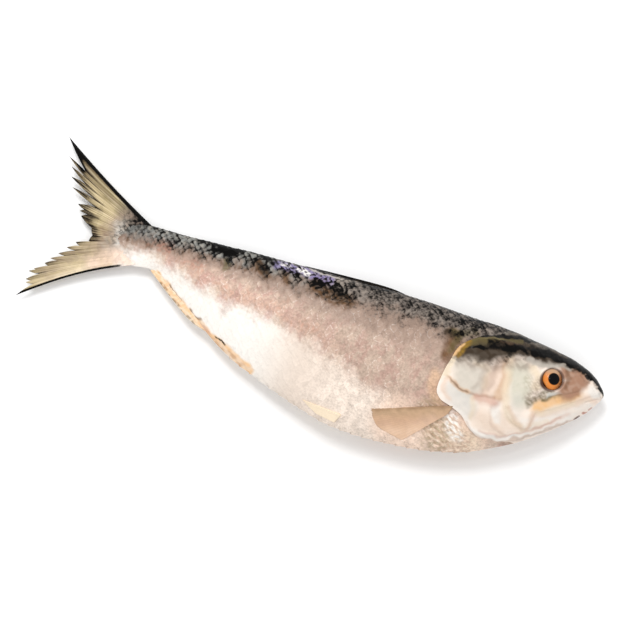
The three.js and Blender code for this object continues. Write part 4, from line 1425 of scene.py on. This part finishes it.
addPiece("trunk", trunkMesh(), scaledSkin, "fish_skin", "fish")
addPiece("head", headMesh(), bareSkin, "fish_skin", "fish")
addPiece("tailFin", tailMesh(), finSkin, "fish_skin", "fish")
addPiece("dorsalFin", middleFinMesh("dorsalFin", dorsalFin, []), finSkin, "fish_skin", "fish")
addPiece("analFin", middleFinMesh("analFin", analFin, analStrokes), finSkin, "fish_skin", "fish")
for side, label in ((1, "Right"), (-1, "Left")):
    for kind, fin, strokes in (("pectoralFin", pectoralFin, pectoralStrokes), ("pelvicFin", pelvicFin, [])):
        mesh = pairedFinMesh(kind + label, fin, side, strokes)
        addPiece(kind + label, mesh, finSkin, "fish_skin", "fish")
    addPiece("eye" + label, eyeMesh("eye" + label, side), eyeJelly, "fish_eye", "eye_" + label.lower())


studio = {
    "floor": "#ffffff",
    "world": "#ffffff",
    "worldStrength": 0.78,
    "keySize": 0.6,
    "keyPower": 13.0,
    "keyFrom": (-0.45, 0.75, 1.4),
    "glintSize": 0.07,
    "glintPower": 0.6,
    "glintFrom": (0.05, 0.3, 1.2),
}
view = {
    "azimuth": 17.4,
    "elevation": 87.0,
    "lens": 120.0,
    "fieldWidth": 0.445,  # metres across the picture at the target
    "target": (0.00266, -0.0015, 0.022),
}


def addFloor():
    # matt paper: a plain pale surface with no gloss
    material, tree = newMaterial("mattPaper")
    settings = {"Base Color": hexToLinear(studio["floor"]), "Roughness": 0.9}
    shader = addNode(tree, "BsdfPrincipled", settings)
    addNode(tree, "OutputMaterial", {}, {"Surface": shader[0]})
    mesh = bpy.data.meshes.new("floor")
    reach = 6.0
    corners = [(-reach, -reach, 0), (reach, -reach, 0), (reach, reach, 0), (-reach, reach, 0)]
    mesh.from_pydata(corners, [], [(0, 1, 2, 3)])
    mesh.materials.append(material)
    floor = bpy.data.objects.new("floor", mesh)
    bpy.context.scene.collection.objects.link(floor)


def aimAt(thing, place, target):
    # turned so that its own -z looks from the place to the target
    direction = Vector(target) - Vector(place)
    thing.location = place
    thing.rotation_euler = direction.to_track_quat("-Z", "Y").to_euler()


def addLight(name, size, power, place):
    # a round soft light that looks at the middle of the fish
    light = bpy.data.lights.new(name, "AREA")
    light.shape = "DISK"
    light.size = size
    light.energy = power
    lamp = bpy.data.objects.new(name, light)
    bpy.context.scene.collection.objects.link(lamp)
    aimAt(lamp, place, (0, 0, 0))


def addCamera():
    # back along the line of sight by the distance at which the field is as wide as it should be
    camera = bpy.data.objects.new("camera", bpy.data.cameras.new("camera"))
    bpy.context.scene.collection.objects.link(camera)
    camera.data.lens = view["lens"]
    camera.data.sensor_width = 36.0
    away = view["fieldWidth"] * view["lens"] / camera.data.sensor_width
    turn, rise = np.radians([view["azimuth"], view["elevation"]])
    back = np.array([np.sin(turn) * np.cos(rise), -np.cos(turn) * np.cos(rise), np.sin(rise)])
    aimAt(camera, (np.array(view["target"]) + back * away).tolist(), view["target"])
    bpy.context.scene.camera = camera


addFloor()
addLight("key", studio["keySize"], studio["keyPower"], studio["keyFrom"])
addLight("glint", studio["glintSize"], studio["glintPower"], studio["glintFrom"])
addCamera()
world = bpy.data.worlds.new("studio")
world.use_nodes = True
world.node_tree.nodes["Background"].inputs["Color"].default_value = hexToLinear(studio["world"])
world.node_tree.nodes["Background"].inputs["Strength"].default_value = studio["worldStrength"]
bpy.context.scene.world = world
bpy.context.scene.view_settings.view_transform = "Standard"
print("stage set")
